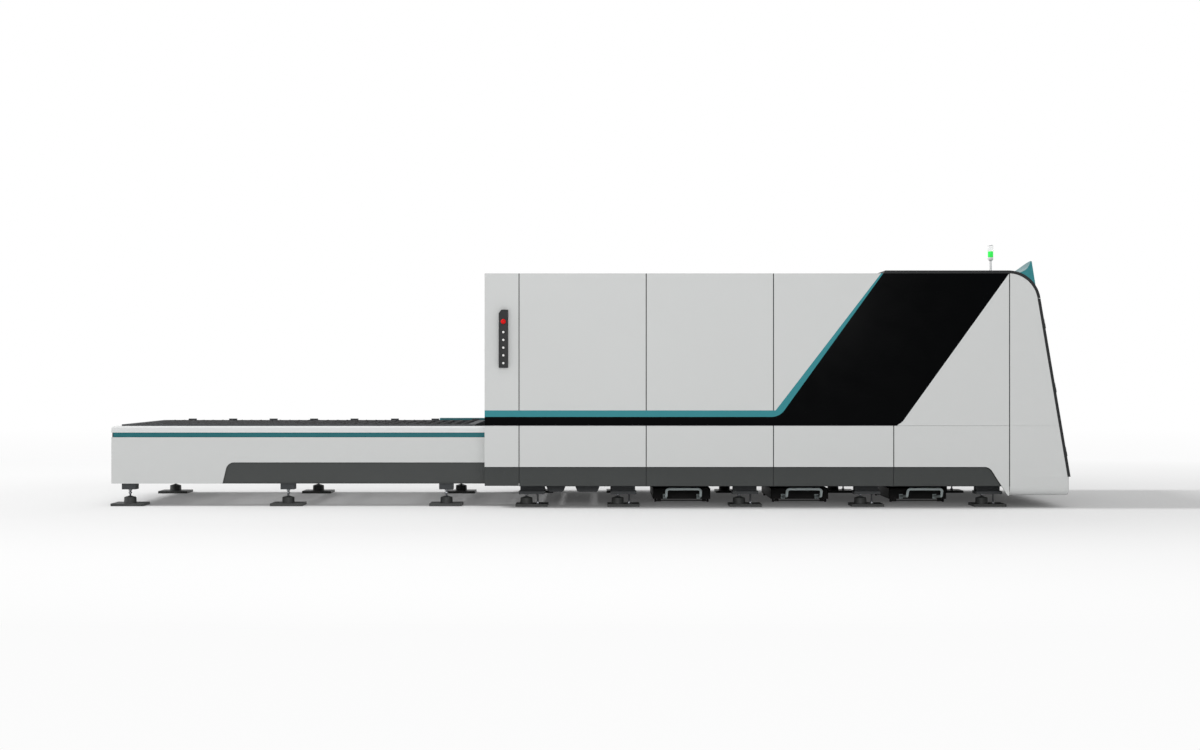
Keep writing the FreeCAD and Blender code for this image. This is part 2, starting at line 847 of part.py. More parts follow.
def make_table_skin():
    """Side and end panels, recessed kick panels, teal strip and the guard on the far rail."""
    skin = -table_half_width
    back = skin + sheet
    side = block(table_end_x, table_x1, skin, back, table_panel_bottom, table_panel_top)
    near = [side.cut(prism_xz(inset_corners(0.0), skin, back))]
    for x in table_feet:
        near.append(centred(x, stand_off_width / 2, back, -table_beam_outer, table_beam_bottom,
                            table_panel_top))
    end = block(table_end_x, table_end_x + sheet, back, -back, table_panel_bottom, table_panel_top)
    export("table_panels", both_sides(near) + [end])

    kick = prism_xz(inset_corners(0.0), skin + inset_recess, skin + inset_recess + sheet)
    kick_lip = prism_xz(inset_corners(0.0), back, skin + inset_recess)
    kick_hole = prism_xz(inset_corners(-sheet), back, skin + inset_recess)
    export("kick_panels", both_sides([kick.fuse(kick_lip.cut(kick_hole)).removeSplitter()]))

    strip = block(table_end_x + strip_recess, table_x1, skin + strip_recess, -table_beam_outer,
                  table_panel_top, cap_bottom_z)
    guard_y0 = cap_inner + guard_inner_inset
    guard_y1 = table_half_width - guard_outer_inset
    guard_x0 = table_x1 - guard_length
    guard = prism_xy([(guard_x0, guard_y0, guard_round), (table_x1, guard_y0), (table_x1, guard_y1),
                      (guard_x0, guard_y1, guard_round)], cap_top_z, cap_top_z + guard_height)
    export("table_trim", both_sides([strip]) + [guard])


def make_rail_caps():
    """Rounded sheet covers over the table's long sides, and the rounded cover across its end."""
    outer = -table_half_width - cap_sheet
    inner = -cap_inner
    x0 = table_end_x + cap_end_width
    profile = [(outer, cap_bottom_z), (inner, cap_bottom_z), (inner, cap_top_z, cap_fold),
               (outer, cap_top_z, cap_round)]
    hollow = [(outer + cap_sheet, cap_bottom_z), (inner - cap_sheet, cap_bottom_z),
              (inner - cap_sheet, cap_top_z - cap_sheet),
              (outer + cap_sheet, cap_top_z - cap_sheet, cap_round - cap_sheet)]
    long_cap = prism_yz(profile, x0, table_x1).cut(prism_yz(hollow, x0 + cap_sheet, table_x1))
    end_cap = prism_xz([(table_end_x, cap_bottom_z), (x0, cap_bottom_z), (x0, cap_top_z),
                        (table_end_x, cap_top_z, cap_round)], outer, -outer)
    round_off = prism_yz([(outer, cap_bottom_z), (-outer, cap_bottom_z), (-outer, cap_top_z, cap_round),
                          (outer, cap_top_z, cap_round)], table_end_x, x0)
    export("rail_caps", both_sides([long_cap]) + [end_cap.common(round_off)])


# ---------------------------------------------------------------- pallets
def toothed_bar(start, end, low, high, pitch, depth):
    """Corners of a strip whose upper edge is a row of points, from start to end."""
    count = max(1, int(round((end - start) / pitch)))
    step = (end - start) / count
    corners = [(start, low), (end, low), (end, high - depth)]
    for i in reversed(range(count)):
        corners.append((start + step * (i + 0.5), high))
        corners.append((start + step * i, high - depth))
    return corners


def pallet_frame(lug_x):
    """Solids of the upper pallet's frame as it stands on the table; the chain pulls it by lugs at lug_x."""
    outer = -pallet_half_width
    inner = pallet_beam_y
    inner_x0 = pallet_x0 + pallet_beam_width
    inner_x1 = pallet_x1 - pallet_beam_width
    near = [block(pallet_x0, pallet_x1, outer, -inner, beam_bottom_z, pallet_beam_top)]
    for x in wheel_xs:
        plate = centred(x, wheel_bracket_length / 2, outer, outer + bracket_width,
                        axle_z - wheel_bracket_drop, beam_bottom_z)
        near.append(plate.cut(bore_y(x, outer, outer + bracket_width, axle_z, wheel_axle_radius, thin_sides)))
    near.append(block(inner_x0, inner_x1, -inner, -inner + comb_thickness, slat_bottom - comb_depth,
                      slat_top_z - comb_depth))
    lug_y = -chain_y + joint_gap
    lug = centred(lug_x, lug_length / 2, lug_y, outer, axle_z + lug_rise, axle_z + lug_top)
    drop = centred(lug_x, lug_length / 2, lug_y, -chain_y + lug_thickness, axle_z - lug_drop,
                   axle_z + lug_rise)
    near.append(lug.fuse(drop).removeSplitter())

    solids = both_sides(near)
    for x in (pallet_x0, inner_x1):
        solids.append(block(x, x + pallet_beam_width, -inner, inner, beam_bottom_z, pallet_beam_top))
    for i in range(crossbar_count):
        x = inner_x0 + (inner_x1 - inner_x0) * (i + 0.5) / crossbar_count
        solids.append(centred(x, crossbar_width / 2, -inner, inner, crossbar_bottom, bearer_bottom))
    for y in (-bearer_y, 0.0, bearer_y):
        solids.append(block(inner_x0, inner_x1, y - bearer_width / 2, y + bearer_width / 2, bearer_bottom,
                            slat_bottom))
    first = pallet_x0 + stop_block_first
    step = (pallet_x1 - stop_block_last - first) / (stop_block_count - 1)
    for i in range(stop_block_count):
        solids.append(centred(first + step * i, stop_block_length / 2, inner + stop_block_inset,
                              pallet_half_width - stop_block_inset, pallet_beam_top,
                              pallet_beam_top + stop_block_height))
    return solids


def pallet_slats():
    """Toothed slats standing between the upper pallet's comb strips."""
    slat_end = pallet_beam_y - comb_thickness
    tooth_pitch = 2 * slat_end / slat_teeth
    profile = toothed_bar(-slat_end, slat_end, slat_bottom, slat_top_z, tooth_pitch, slat_tooth_depth)
    margin = (pallet_length - slat_pitch * (slat_count - 1) - slat_thickness) / 2
    slats = []
    for i in range(slat_count):
        x = pallet_x0 + margin + slat_pitch * i
        slats.append(prism_yz(profile, x, x + slat_thickness))
    return slats


def wheel_pair(x):
    """Two wheels with their axles under the upper pallet's side beams."""
    wheel = rod_y(x, -wheel_y - wheel_width, -wheel_y, axle_z, wheel_radius, wheel_sides)
    axle = rod_y(x, -wheel_y, -pallet_half_width + bracket_width, axle_z, wheel_axle_radius, thin_sides)
    return both_sides([wheel.fuse(axle)])


def make_pallets():
    """Both pallets: the upper one on the table, the lower one inside under the cutting area."""
    places = (
        ("upper", V(0, 0, 0), pallet_x1 - lug_from_end),
        ("lower", V(pallet_travel, 0, -level_drop), pallet_x0 + lug_from_end),
    )
    for name, shift, lug_x in places:
        groups = [
            (name + "_pallet_frame", pallet_frame(lug_x)),
            (name + "_pallet_slats", pallet_slats()),
            (name + "_rear_wheels", wheel_pair(wheel_xs[0])),
            (name + "_front_wheels", wheel_pair(wheel_xs[1])),
        ]
        for node, pieces in groups:
            for piece in pieces:
                piece.translate(shift)
            export(node, pieces)


def chain_loop(y0, y1):
    """Endless chain as two straight runs and the wraps round the two sprockets."""
    half = chain_height / 2
    runs = []
    for side in (-1, 1):
        middle = sprocket_z + side * chain_radius
        runs.append(block(chain_left_x, chain_right_x, y0, y1, middle - half, middle + half))
    half_turn = wheel_sides // 2
    for centre_x, first in ((chain_right_x, 90.0), (chain_left_x, 270.0)):
        corners = []
        for radius, steps in ((chain_radius + half, range(half_turn + 1)),
                              (chain_radius - half, reversed(range(half_turn + 1)))):
            for i in steps:
                turn = math.radians(first - 180.0 * i / half_turn)
                corners.append(V(centre_x + radius * math.cos(turn), y0,
                                 sprocket_z + radius * math.sin(turn)))
        runs.append(Part.Face(Part.makePolygon(corners + corners[:1])).extrude(V(0, y1 - y0, 0)))
    return runs


def sprocket(x):
    """Sprocket disc in the plane of the near chain."""
    middle = -chain_y - chain_width / 2
    return rod_y(x, middle - sprocket_width / 2, middle + sprocket_width / 2, sprocket_z, sprocket_radius,
                 wheel_sides)


def make_exchange_drive():
    """Chain loops and geared motor, the drive shaft with its sprockets and the idler sprockets."""
    chain = chain_loop(-chain_y - chain_width, -chain_y)
    gearbox = centred(chain_right_x, gearbox_length / 2, gearbox_inner_y, gearbox_outer_y, hopper_top_z,
                      sprocket_z + gearbox_rise)
    gearbox = gearbox.cut(bore_y(chain_right_x, gearbox_inner_y, gearbox_outer_y, sprocket_z,
                                 drive_shaft_radius))
    motor = rod_y(chain_right_x, gearbox_inner_y - geared_motor_length, gearbox_inner_y,
                  hopper_top_z + geared_motor_rise, geared_motor_radius)
    export("exchange_drive", both_sides(chain) + [gearbox, motor])

    disc = sprocket(chain_right_x)
    shaft_end = bed_beam_inner + drive_shaft_past_beam
    shaft = rod_y(chain_right_x, -shaft_end, shaft_end, sprocket_z, drive_shaft_radius)
    export("drive_shaft", [shaft.fuse(disc).fuse(mirrored(disc))])

    axle = rod_y(chain_left_x, -table_beam_inner - idler_axle_past_beam, -chain_y, sprocket_z,
                 idler_axle_radius)
    export("idler_sprockets", both_sides([sprocket(chain_left_x).fuse(axle)]))


# ---------------------------------------------------------------- gantry, carriage and head
def bearing_block(x):
    """Carriage block that rides on the near linear rail."""
    foot_z = bed_beam_top + bearing_to_beam
    channel_half = x_rail_width / 2 + joint_gap
    body = centred(x, bearing_length / 2, -x_rail_y - bearing_width / 2, -x_rail_y + bearing_width / 2,
                   foot_z, bearing_top)
    channel = centred(x, bearing_length / 2, -x_rail_y - channel_half, -x_rail_y + channel_half, foot_z,
                      rail_top_z + joint_gap)
    return body.cut(channel)


def make_gantry():
    """Beam on bearing blocks over the bed, with its end plates, motors and rails, and the pinions."""
    end_y0 = -x_rail_y - end_block_past_rail
    end_y1 = -bed_beam_inner + end_block_past_beam
    near = []
    for side in (-1, 1):
        bearing_x = gantry_x + side * (end_block_length / 2 - bearing_length / 2 - bearing_inset)
        near.append(bearing_block(bearing_x))
    end_plate = centred(gantry_x, end_block_length / 2, end_y0, end_y1, bearing_top,
                        bearing_top + end_block_height)
    tongue = centred(gantry_x, motor_size / 2, end_y0, end_y1, rail_top_z + rail_clearance, bearing_top)
    hole = bore_y(gantry_x, end_y0, end_y1, pinion_z, pinion_shaft_radius, thin_sides)
    near.append(end_plate.fuse(tongue).removeSplitter().cut(hole))
    near.append(centred(gantry_x, motor_size / 2, end_y1, end_y1 + motor_length, pinion_z - motor_size / 2,
                        beam_bottom))
    solids = both_sides(near)
    solids.append(centred(gantry_x, beam_width / 2, end_y1, -end_y1, beam_bottom, beam_bottom + beam_height))
    for z in y_rail_zs:
        solids.append(block(beam_x1, beam_x1 + y_rail_size, end_y1 + y_rail_from_end,
                            -end_y1 - y_rail_from_end, z - y_rail_size / 2, z + y_rail_size / 2))
    export("gantry_beam", solids)

    pinion_y0 = -rack_y - rack_width / 2
    pinion_y1 = pinion_y0 + rack_width
    pinion = rod_y(gantry_x, pinion_y0, pinion_y1, pinion_z, pinion_radius, wheel_sides)
    shaft = rod_y(gantry_x, pinion_y1, end_y1 - pinion_shaft_inset, pinion_z, pinion_shaft_radius, thin_sides)
    export("gantry_pinions", both_sides([pinion.fuse(shaft)]))


def make_carriage():
    """Plate that runs across the beam on four shoes, with the head's rails and its motor on top."""
    bottom = carriage_top_z - carriage_height
    half_rail = y_rail_size / 2 + joint_gap
    shoe_x0 = beam_x1 + shoe_to_beam
    carriage = [block(plate_x0, plate_x1, -carriage_width / 2, carriage_width / 2, bottom, carriage_top_z)]
    for z in y_rail_zs:
        for side in (-1, 1):
            y = side * (carriage_width / 2 - shoe_length / 2 - shoe_inset)
            shoe = block(shoe_x0, plate_x0, y - shoe_length / 2, y + shoe_length / 2, z - shoe_height / 2,
                         z + shoe_height / 2)
            channel = block(shoe_x0, beam_x1 + y_rail_size + joint_gap, y - shoe_length / 2,
                            y + shoe_length / 2, z - half_rail, z + half_rail)
            carriage.append(shoe.cut(channel))
    for side in (-1, 1):
        y = side * z_rail_spacing / 2
        carriage.append(block(plate_x1, plate_x1 + z_rail_size, y - z_rail_size / 2, y + z_rail_size / 2,
                              bottom + z_rail_inset, carriage_top_z - z_rail_inset))
    motor_x1 = plate_x1 - z_motor_overlap + z_motor_size
    plate_top = carriage_top_z + z_motor_plate_thickness
    carriage.append(block(plate_x0, motor_x1, -z_motor_plate_width / 2, z_motor_plate_width / 2,
                          carriage_top_z, plate_top))
    carriage.append(block(motor_x1 - z_motor_size, motor_x1, -z_motor_size / 2, z_motor_size / 2, plate_top,
                          plate_top + z_motor_height))
    export("carriage", carriage)


def make_head():
    """Cutting head: plate on the carriage's rails, optics body, collar, cone and nozzle."""
    head_x0 = plate_x1 + z_rail_size + joint_gap
    head_x1 = head_x0 + head_plate_thickness
    plate_top = carriage_top_z - head_plate_below_carriage
    axis_x = head_x1 + head_body_depth / 2
    cone_z = nozzle_z + nozzle_length
    collar_z = cone_z + cone_height
    body_z = collar_z + collar_height
    export("cutting_head", [
        block(head_x0, head_x1, -head_plate_width / 2, head_plate_width / 2, plate_top - head_plate_length,
              plate_top),
        block(head_x1, head_x1 + head_body_depth, -head_body_width / 2, head_body_width / 2, body_z,
              body_z + head_body_height),
        rod_z(axis_x, 0.0, collar_z, body_z, collar_radius),
        turned_z(axis_x, 0.0, [(cone_z, cone_radius), (collar_z, collar_radius)]),
        rod_z(axis_x, 0.0, nozzle_z, cone_z, nozzle_radius),
    ])


# ---------------------------------------------------------------- scrap carts
def cart_tub(centre):
    """Bottom and four walls of a cart's tub."""
    x0 = centre - cart_half_length
    x1 = centre + cart_half_length
    y1 = cart_half_width
    wall_z = cart_bottom + cart_sheet
    plates = [block(x0, x1, -y1, y1, cart_bottom, wall_z)]
    for y in (-y1, y1 - cart_sheet):
        plates.append(block(x0, x1, y, y + cart_sheet, wall_z, cart_top))
    for x in (x0, x1 - cart_sheet):
        plates.append(block(x, x + cart_sheet, -y1 + cart_sheet, y1 - cart_sheet, wall_z, cart_top))
    return plates


def cart_ears(centre, y):
    """Two ears under the tub that hold one axle."""
    z = cart_wheel_radius
    ears = []
    for x0 in (centre - cart_ear_x, centre + cart_ear_x - cart_ear_length):
        x1 = x0 + cart_ear_length
        ear = block(x0, x1, y - cart_ear_width / 2, y + cart_ear_width / 2, z - cart_ear_drop, cart_bottom)
        ears.append(ear.cut(bore(V(x0, y, z), V(x1, y, z), cart_axle_radius, thin_sides)))
    return ears


def cart_wheel(x, y):
    """Wheel with a corner of its outline resting on the floor."""
    start = V(x, y, cart_wheel_radius)
    return bar(start, start + V(cart_wheel_width, 0, 0), cart_wheel_radius, cart_wheel_sides, 0.0)


def cart_wheels(centre, y):
    """Two wheels joined by their axle."""
    x0 = centre - cart_ear_x - cart_wheel_gap
    x1 = centre + cart_ear_x + cart_wheel_gap
    axle = rod_x(x0, x1, y, cart_wheel_radius, cart_axle_radius, thin_sides)
    return cart_wheel(x0 - cart_wheel_width, y).fuse(axle).fuse(cart_wheel(x1, y))


def cart_handle(centre):
    """Tube handle: two long arms from the tub's near face, bent up into a grip near the machine's side."""
    half = cart_handle_length / 2 - cart_handle_radius
    face = -cart_half_width
    grip_y = face - cart_handle_reach + cart_handle_radius
    knee_y = grip_y + cart_handle_lean
    grip = [
        V(centre - half, knee_y, cart_handle_knee_z), V(centre - half, grip_y, cart_handle_z),
        V(centre + half, grip_y, cart_handle_z), V(centre + half, knee_y, cart_handle_knee_z),
    ]
    arms = [handle_arm(x, face, knee_y) for x in (centre - half, centre + half)]
    return arms + bent_tube(grip, cart_handle_bend, cart_handle_radius)


def handle_arm(x, face, knee_y):
    """Straight arm of a handle from the tub's face to the knee, both ends flush in XZ planes."""
    rings = []
    for y, z in ((face, cart_handle_foot_z), (knee_y, cart_handle_knee_z)):
        ring = []
        for step in range(thin_sides):
            turn = 2 * math.pi * (step + 0.5) / thin_sides
            ring.append(V(x + cart_handle_radius * math.cos(turn), y,
                          z + cart_handle_radius * math.sin(turn)))
        rings.append(ring)
    return stacked(rings)


def make_cart(number, centre):
    """Shallow tub on two wheel pairs with a tube handle on the near side."""
    pieces = cart_tub(centre) + cart_handle(centre)
    axle_y = cart_half_width - cart_axle_from_end
    for end, y in (("front", -axle_y), ("rear", axle_y)):
        pieces += cart_ears(centre, y)
        export("cart_%d_%s_wheels" % (number, end), [cart_wheels(centre, y)])
    export("cart_%d" % number, pieces)


def bent_tube(points, bend, radius):
    """Many-sided tube as mitred runs, each corner cut off by a short run, both ends flush in one XZ plane."""
    path = [points[0]]
    for before, corner, after in zip(points, points[1:], points[2:]):
        path.append(corner + (before - corner).normalize() * bend)
        path.append(corner + (after - corner).normalize() * bend)
    path.append(points[-1])
    flat = (points[1] - points[0]).cross(points[2] - points[1]).normalize()
    rings = []
    for i, point in enumerate(path):
        ahead = (path[i + 1] - point).normalize() if i + 1 < len(path) else None
        behind = (point - path[i - 1]).normalize() if i else None
        run = ahead or behind
        half_turn = ahead.getAngle(behind) / 2 if ahead and behind else 0.0
        along = (ahead + behind).normalize() if ahead and behind else run
        across = along.cross(flat).normalize() * (radius / math.cos(half_turn))
        ring = []
        for step in range(thin_sides):
            turn = 2 * math.pi * (step + 0.5) / thin_sides
            ring.append(point + across * math.cos(turn) + flat * (radius * math.sin(turn)))
        rings.append(ring)
    for ring, run in ((rings[0], path[1] - path[0]), (rings[-1], path[-2] - path[-1])):
        for i, point in enumerate(ring):
            ring[i] = point + run * ((points[0].y - point.y) / run.y)
    return [stacked([low, high]) for low, high in zip(rings, rings[1:])]


# ---------------------------------------------------------------- enclosure
def side_tubes():
    """Square tubes behind the near side's panels."""
    p = post_size
    left = enclosure_end_x + panel_depth
    right = front_seam + p / 2
    y0 = -frame_outer
    y1 = -frame_inner
    top = roof_top_z - panel_depth
    post_bottom = base_top + p
    post_top = top - p
    tubes = [
        block(left, right, y0, y1, base_top, post_bottom),
        block(left, right, y0, y1, post_top, top),
        block(left, left + p, y0, y1, post_bottom, post_top),
        block(first_seam + p / 2, seams[1] - p / 2, y0, y1, deck_top - deck_depth, deck_top),
    ]
    for x in seams:
        tubes.append(centred(x, p / 2, y0, y1, post_bottom, post_top))
    foot_z = front_foot_z + foot_tube_rise
    head_z = front_head_z - head_tube_drop
    slope = [(front_x(foot_z) - p, foot_z), (front_x(foot_z), foot_z), (front_x(head_z), head_z),
             (front_x(head_z) - p, head_z)]
    tubes.append(prism_xz(slope, y0, y1))
    for z in (foot_z, head_z - p):
        arm = [(right, z), (front_x(z) - p, z), (front_x(z + p) - p, z + p), (right, z + p)]
        tubes.append(prism_xz(arm, y0, y1))
    return tubes


def make_enclosure_frame():
    """Tube frame, roof tubes, and the deck over the exchange passage with its two cabinets."""
    top = roof_top_z - panel_depth
    solids = both_sides(side_tubes())
    for x in [enclosure_end_x + panel_depth + post_size / 2] + seams:
        solids.append(centred(x, post_size / 2, -frame_inner, frame_inner, top - post_size, top))
    x0 = first_seam + deck_margin
    x1 = gantry_x - end_block_length / 2 - deck_to_gantry
    solids.append(block(x0, x1, -frame_inner, frame_inner, deck_top - deck_depth, deck_top))
    export("enclosure_frame", solids)
    cabinet_x0 = x0 + cabinet_margin
    cabinet_x1 = x1 - cabinet_margin
    cabinet_y = frame_inner - cabinet_to_frame
    export("laser_source", [block(cabinet_x0, cabinet_x1, -cabinet_y, -cabinet_from_centre, deck_top,
                                  deck_top + source_height)])
    export("electrical_cabinet", [block(cabinet_x0, cabinet_x1, cabinet_from_centre, cabinet_y, deck_top,
                                        deck_top + cabinet_height)])


def knee_x():
    """X of the stripe's sharp upper corner."""
    return seams[2] + stripe_knee_in_bay


def window_outline():
    """Black band along the side with the slanted window at its operator end."""
    right_top = front_seam - window_corner_to_seam
    right_low = right_top - window_right_slant * (roof_top_z - band_bottom_z)
    left_low = seams[2] + stripe_drop_in_bay
    left_top = left_low + window_left_slant * (roof_top_z - stripe_bottom_z)
    return [
        (enclosure_end_x, band_bottom_z),
        (right_low, band_bottom_z, window_bend),
        (right_top, roof_top_z),
        (left_top, roof_top_z),
        (left_low, stripe_bottom_z, stripe_bend),
        (enclosure_end_x, stripe_bottom_z),
    ]


def panel_row(count, low, high, skin_y, depth):
    """Folded panels of the first bays between two heights."""
    spans = list(zip(left_edges, right_edges))[:count]
    return [folded_panel([(x0, low), (x1, low), (x1, high), (x0, high)], skin_y, depth) for x0, x1 in spans]


def make_side_panels():
    """Upper panels, teal stripe and black band with its window."""
    skin = -enclosure_half_width
    knee = knee_x()
    stripe_top_x = knee + stripe_slant * (roof_top_z - stripe_top_z)
    upper = panel_row(3, stripe_top_z, roof_top_z, skin, panel_depth)
    upper.append(folded_panel([(left_edges[3], stripe_top_z), (knee, stripe_top_z),
                               (stripe_top_x, roof_top_z), (left_edges[3], roof_top_z)], skin))
    window = window_outline()
    low_x = window[1][0] - window_side_wedge
    wedge = face_xz([(low_x, band_bottom_z), (right_edges[4], band_bottom_z), (right_edges[4], roof_top_z)],
                    skin)
    upper.append(folded_panel(wedge.cut(face_xz(window, skin)), skin))
    export("upper_panels", both_sides(upper))
    export("window_bands", both_sides([folded_panel(window, skin)]))

    left_top = window[3][0]
    left_low = window[4][0]
    stripe = [
        (enclosure_end_x, stripe_bottom_z), (left_low, stripe_bottom_z, stripe_bend), (left_top, roof_top_z),
        (stripe_top_x, roof_top_z), (knee, stripe_top_z), (enclosure_end_x, stripe_top_z),
    ]
    export("teal_stripes", both_sides([prism_xz(stripe, skin, skin + panel_depth)]))


def make_low_panels():
    """Lower panels below the band and the recessed dark skirts, which end on a slant in the last bay."""
    skin = -enclosure_half_width
    lower_top = band_bottom_z - plate_joint
    slant_top = front_seam - skirt_slant_inset
    slant_foot = slant_top + skirt_slant * (skirt_bottom_z - skirt_top_z)
    tip_x = slant_top + skirt_slant * (front_bottom_z - skirt_top_z)
    lower = panel_row(4, skirt_top_z, lower_top, skin, panel_depth)
    lower.append(folded_panel([
        (left_edges[4], skirt_top_z), (slant_top, skirt_top_z, skirt_fillet), (tip_x, front_bottom_z),
        (right_edges[4], front_bottom_z), (right_edges[4], lower_top), (left_edges[4], lower_top),
    ], skin))
    export("lower_panels", both_sides(lower))

    skirt_skin = skin + skirt_recess
    skirt_depth = panel_depth - skirt_recess
    skirts = panel_row(4, skirt_bottom_z, skirt_top_z, skirt_skin, skirt_depth)
    skirts.append(folded_panel([
        (left_edges[4], skirt_bottom_z), (slant_foot, skirt_bottom_z), (slant_top, skirt_top_z, skirt_fillet),
        (left_edges[4], skirt_top_z),
    ], skirt_skin, skirt_depth))
    export("skirts", both_sides(skirts))


def make_end_wall_and_roof():
    """End wall with the exchange port, roof panels, and the dark roof cap bent down to the sloped front."""
    inner = frame_outer - end_panel_gap
    half = seam_gap / 2
    header = wall_tray(-inner, inner, port_top_z, roof_top_z, enclosure_end_x)
    side = wall_tray(-inner, -port_half_width, skirt_bottom_z, port_top_z, enclosure_end_x)
    export("end_wall", both_sides([side]) + [header])

    cap_start = window_outline()[3][0]
    edges = [enclosure_end_x + panel_depth] + seams[:3] + [cap_start + half]
    spans = [(x0 + half, x1 - half) for x0, x1 in zip(edges, edges[1:])]
    spans.append((cap_start + seam_gap, front_seam - half))
    export("roof_panels", [flat_tray(x0, x1, -inner, inner, roof_top_z) for x0, x1 in spans])

    outer_slope = roof_cap_thickness / math.cos(front_lean)
    under = roof_top_z + joint_gap
    cap = [
        (front_x(under) + joint_gap, under, roof_bend), (front_x(cap_end_z) + joint_gap, cap_end_z),
        (front_x(cap_end_z) + outer_slope, cap_end_z), cap_corner,
        (cap_start + window_left_slant * roof_cap_thickness, cap_top_face), (cap_start, under),
    ]
    export("roof_cap", [prism_xz(cap, -enclosure_half_width, enclosure_half_width)])


def make_front_cheeks():
    """Cheeks beside the sloped front, each in two plates with a rolled lower edge, and the apron."""
    skin = -enclosure_half_width
    half = seam_gap / 2
    x0 = front_seam + half
    behind = x0 - roof_bend
    roll_top = front_bottom_z + front_roll
    apron_top = front_foot_z - half
    outline = face_xz([
        (behind, roll_top), (front_toe_x, roll_top), (front_toe_x, apron_top),
        (front_x(front_foot_z), apron_top),
        (front_x(roof_top_z), roof_top_z, roof_bend), (behind, roof_top_z),
    ], skin)
    plates = []
    for z0, z1 in ((front_bottom_z, band_bottom_z - plate_joint), (band_bottom_z, roof_top_z)):
        part = face_xz([(x0, z0), (front_toe_x, z0), (front_toe_x, z1), (x0, z1)], skin)
        plates.append(folded_panel(outline.common(part), skin))
    plates[0] = plates[0].fuse(roll_strip(x0, skin, roll_top)).removeSplitter()

    back_x = front_toe_x - apron_depth
    lip_x = front_toe_x - front_lip
    apron = prism_xz([
        (back_x, front_bottom_z), (front_toe_x, front_bottom_z, front_corner), (front_toe_x, apron_top),
        (lip_x, apron_top), (lip_x, apron_top - sheet), (front_toe_x - sheet, apron_top - sheet),
        (front_toe_x - sheet, front_bottom_z + sheet, front_corner - sheet), (back_x, front_bottom_z + sheet),
    ], skin + panel_depth, -skin - panel_depth)
    notch = block(back_x, front_toe_x, skin + panel_depth, skin + front_roll, front_bottom_z, roll_top)
    apron = apron.cut(notch).cut(mirrored(notch))
    export("front_cheeks", both_sides(plates) + [apron])


def roll_strip(x0, skin, roll_top):
    """Lower edge of a cheek, rolled inwards by a quarter turn and closed by a plate at its front end."""
    x1 = front_toe_x
    centre = V(x0, skin + front_roll, roll_top)
    towards_skin = V(0, -1, 0)
    down = V(0, 0, -1)
    diagonal = (towards_skin + down).normalize()
    inner_radius = front_roll - sheet
    outer_ends = (centre + towards_skin * front_roll, centre + down * front_roll)
    inner_ends = (centre + down * inner_radius, centre + towards_skin * inner_radius)
    edges = [
        Part.Arc(outer_ends[0], centre + diagonal * front_roll, outer_ends[1]).toShape(),
        Part.LineSegment(outer_ends[1], inner_ends[0]).toShape(),
        Part.Arc(inner_ends[0], centre + diagonal * inner_radius, inner_ends[1]).toShape(),
        Part.LineSegment(inner_ends[1], outer_ends[0]).toShape(),
    ]
    strip = Part.Face(Part.Wire(edges)).extrude(V(x1 - x0, 0, 0))
    end = Part.makeCylinder(front_roll, sheet, V(x1 - sheet, centre.y, centre.z), V(1, 0, 0))
    end = end.common(block(x1 - sheet, x1, skin, centre.y, front_bottom_z, roll_top))
    side_view = prism_xz([(x0, front_bottom_z), (x1, front_bottom_z, front_corner), (x1, roll_top),
                          (x0, roll_top)],
                         skin, centre.y)
    return strip.fuse(end).common(side_view).removeSplitter()


def make_crest():
    """Teal crest over the operator end: high at both sides, down to the roof line in the middle."""
    corner_x, cap_top, outer_r = cap_corner
    centre = (corner_x - outer_r * roof_tangent, cap_top - outer_r)
    half_step = (crest_foot_angle - crest_toe_angle) / crest_steps / 2
    base_r = (outer_r + joint_gap) / math.cos(half_step)

    def outside(x, z, least):
        """The point itself, or the nearest one that lies clear of the roof cap."""
        reach = math.dist((x, z), centre)
        share = max(1.0, (base_r + least) / reach)
        return (centre[0] + (x - centre[0]) * share, centre[1] + (z - centre[1]) * share)

    toe = (centre[0] + base_r * math.sin(crest_toe_angle), centre[1] + base_r * math.cos(crest_toe_angle))
    rings = []
    for i in range(crest_stations):
        y = -enclosure_half_width + 2 * enclosure_half_width * i / (crest_stations - 1)
        share = (y / enclosure_half_width) ** 2
        peak = (toe[0] + crest_toe, cap_top + crest_rise - crest_dip * (1 - share))
        ring = [V(toe[0], y, toe[1])]
        for step in range(1, crest_steps):
            along = step / crest_steps
            sag = crest_hollow * math.sin(math.pi * along)
            x, z = outside(toe[0] + crest_toe * along + sag, toe[1] + (peak[1] - toe[1]) * along - sag,
                           crest_least * math.sin(math.pi * along / 2))
            ring.append(V(x, y, z))
        x, z = outside(peak[0], peak[1], crest_least)
        ring.append(V(x, y, z))
        for step in range(crest_steps):
            angle = crest_foot_angle + (crest_toe_angle - crest_foot_angle) * step / crest_steps
            ring.append(V(centre[0] + base_r * math.sin(angle), y, centre[1] + base_r * math.cos(angle)))
        rings.append(ring)
    export("crest", [stacked_triangles(rings)])


def hinge_tab(y0, y1, z0, z1):
    """Flat leaf of a hinge on the outside of the sloped front."""
    return sloped_slab(y0, y1, z0 + hinge_tab_gap, z1 - hinge_tab_gap, front_frame_thickness,
                       hinge_tab_thickness)


def make_front_frame():
    """Dark frame on the sloped front with the lower halves of the doors' lift-off hinges."""
    z0 = front_foot_z
    z1 = front_head_z
    outer = enclosure_half_width
    half_length = hinge_length / 2
    near = [sloped_slab(-outer, -door_opening_y, z0, z1)]
    for z in hinge_zs:
        knuckle = along_front(z - half_length, z, -hinge_y, hinge_offset, hinge_radius)
        pin = along_front(z, z + half_length - hinge_pin_short, -hinge_y, hinge_offset, hinge_pin_radius)
        tab = hinge_tab(-outer + hinge_leaf_inset, -hinge_y, z - half_length, z)
        near.append(knuckle.fuse(pin).fuse(tab).removeSplitter())
    solids = both_sides(near)
    for rail_z in (z0, z1 - door_rail):
        solids.append(sloped_slab(-door_opening_y, door_opening_y, rail_z, rail_z + door_rail))
    export("front_frame", solids)


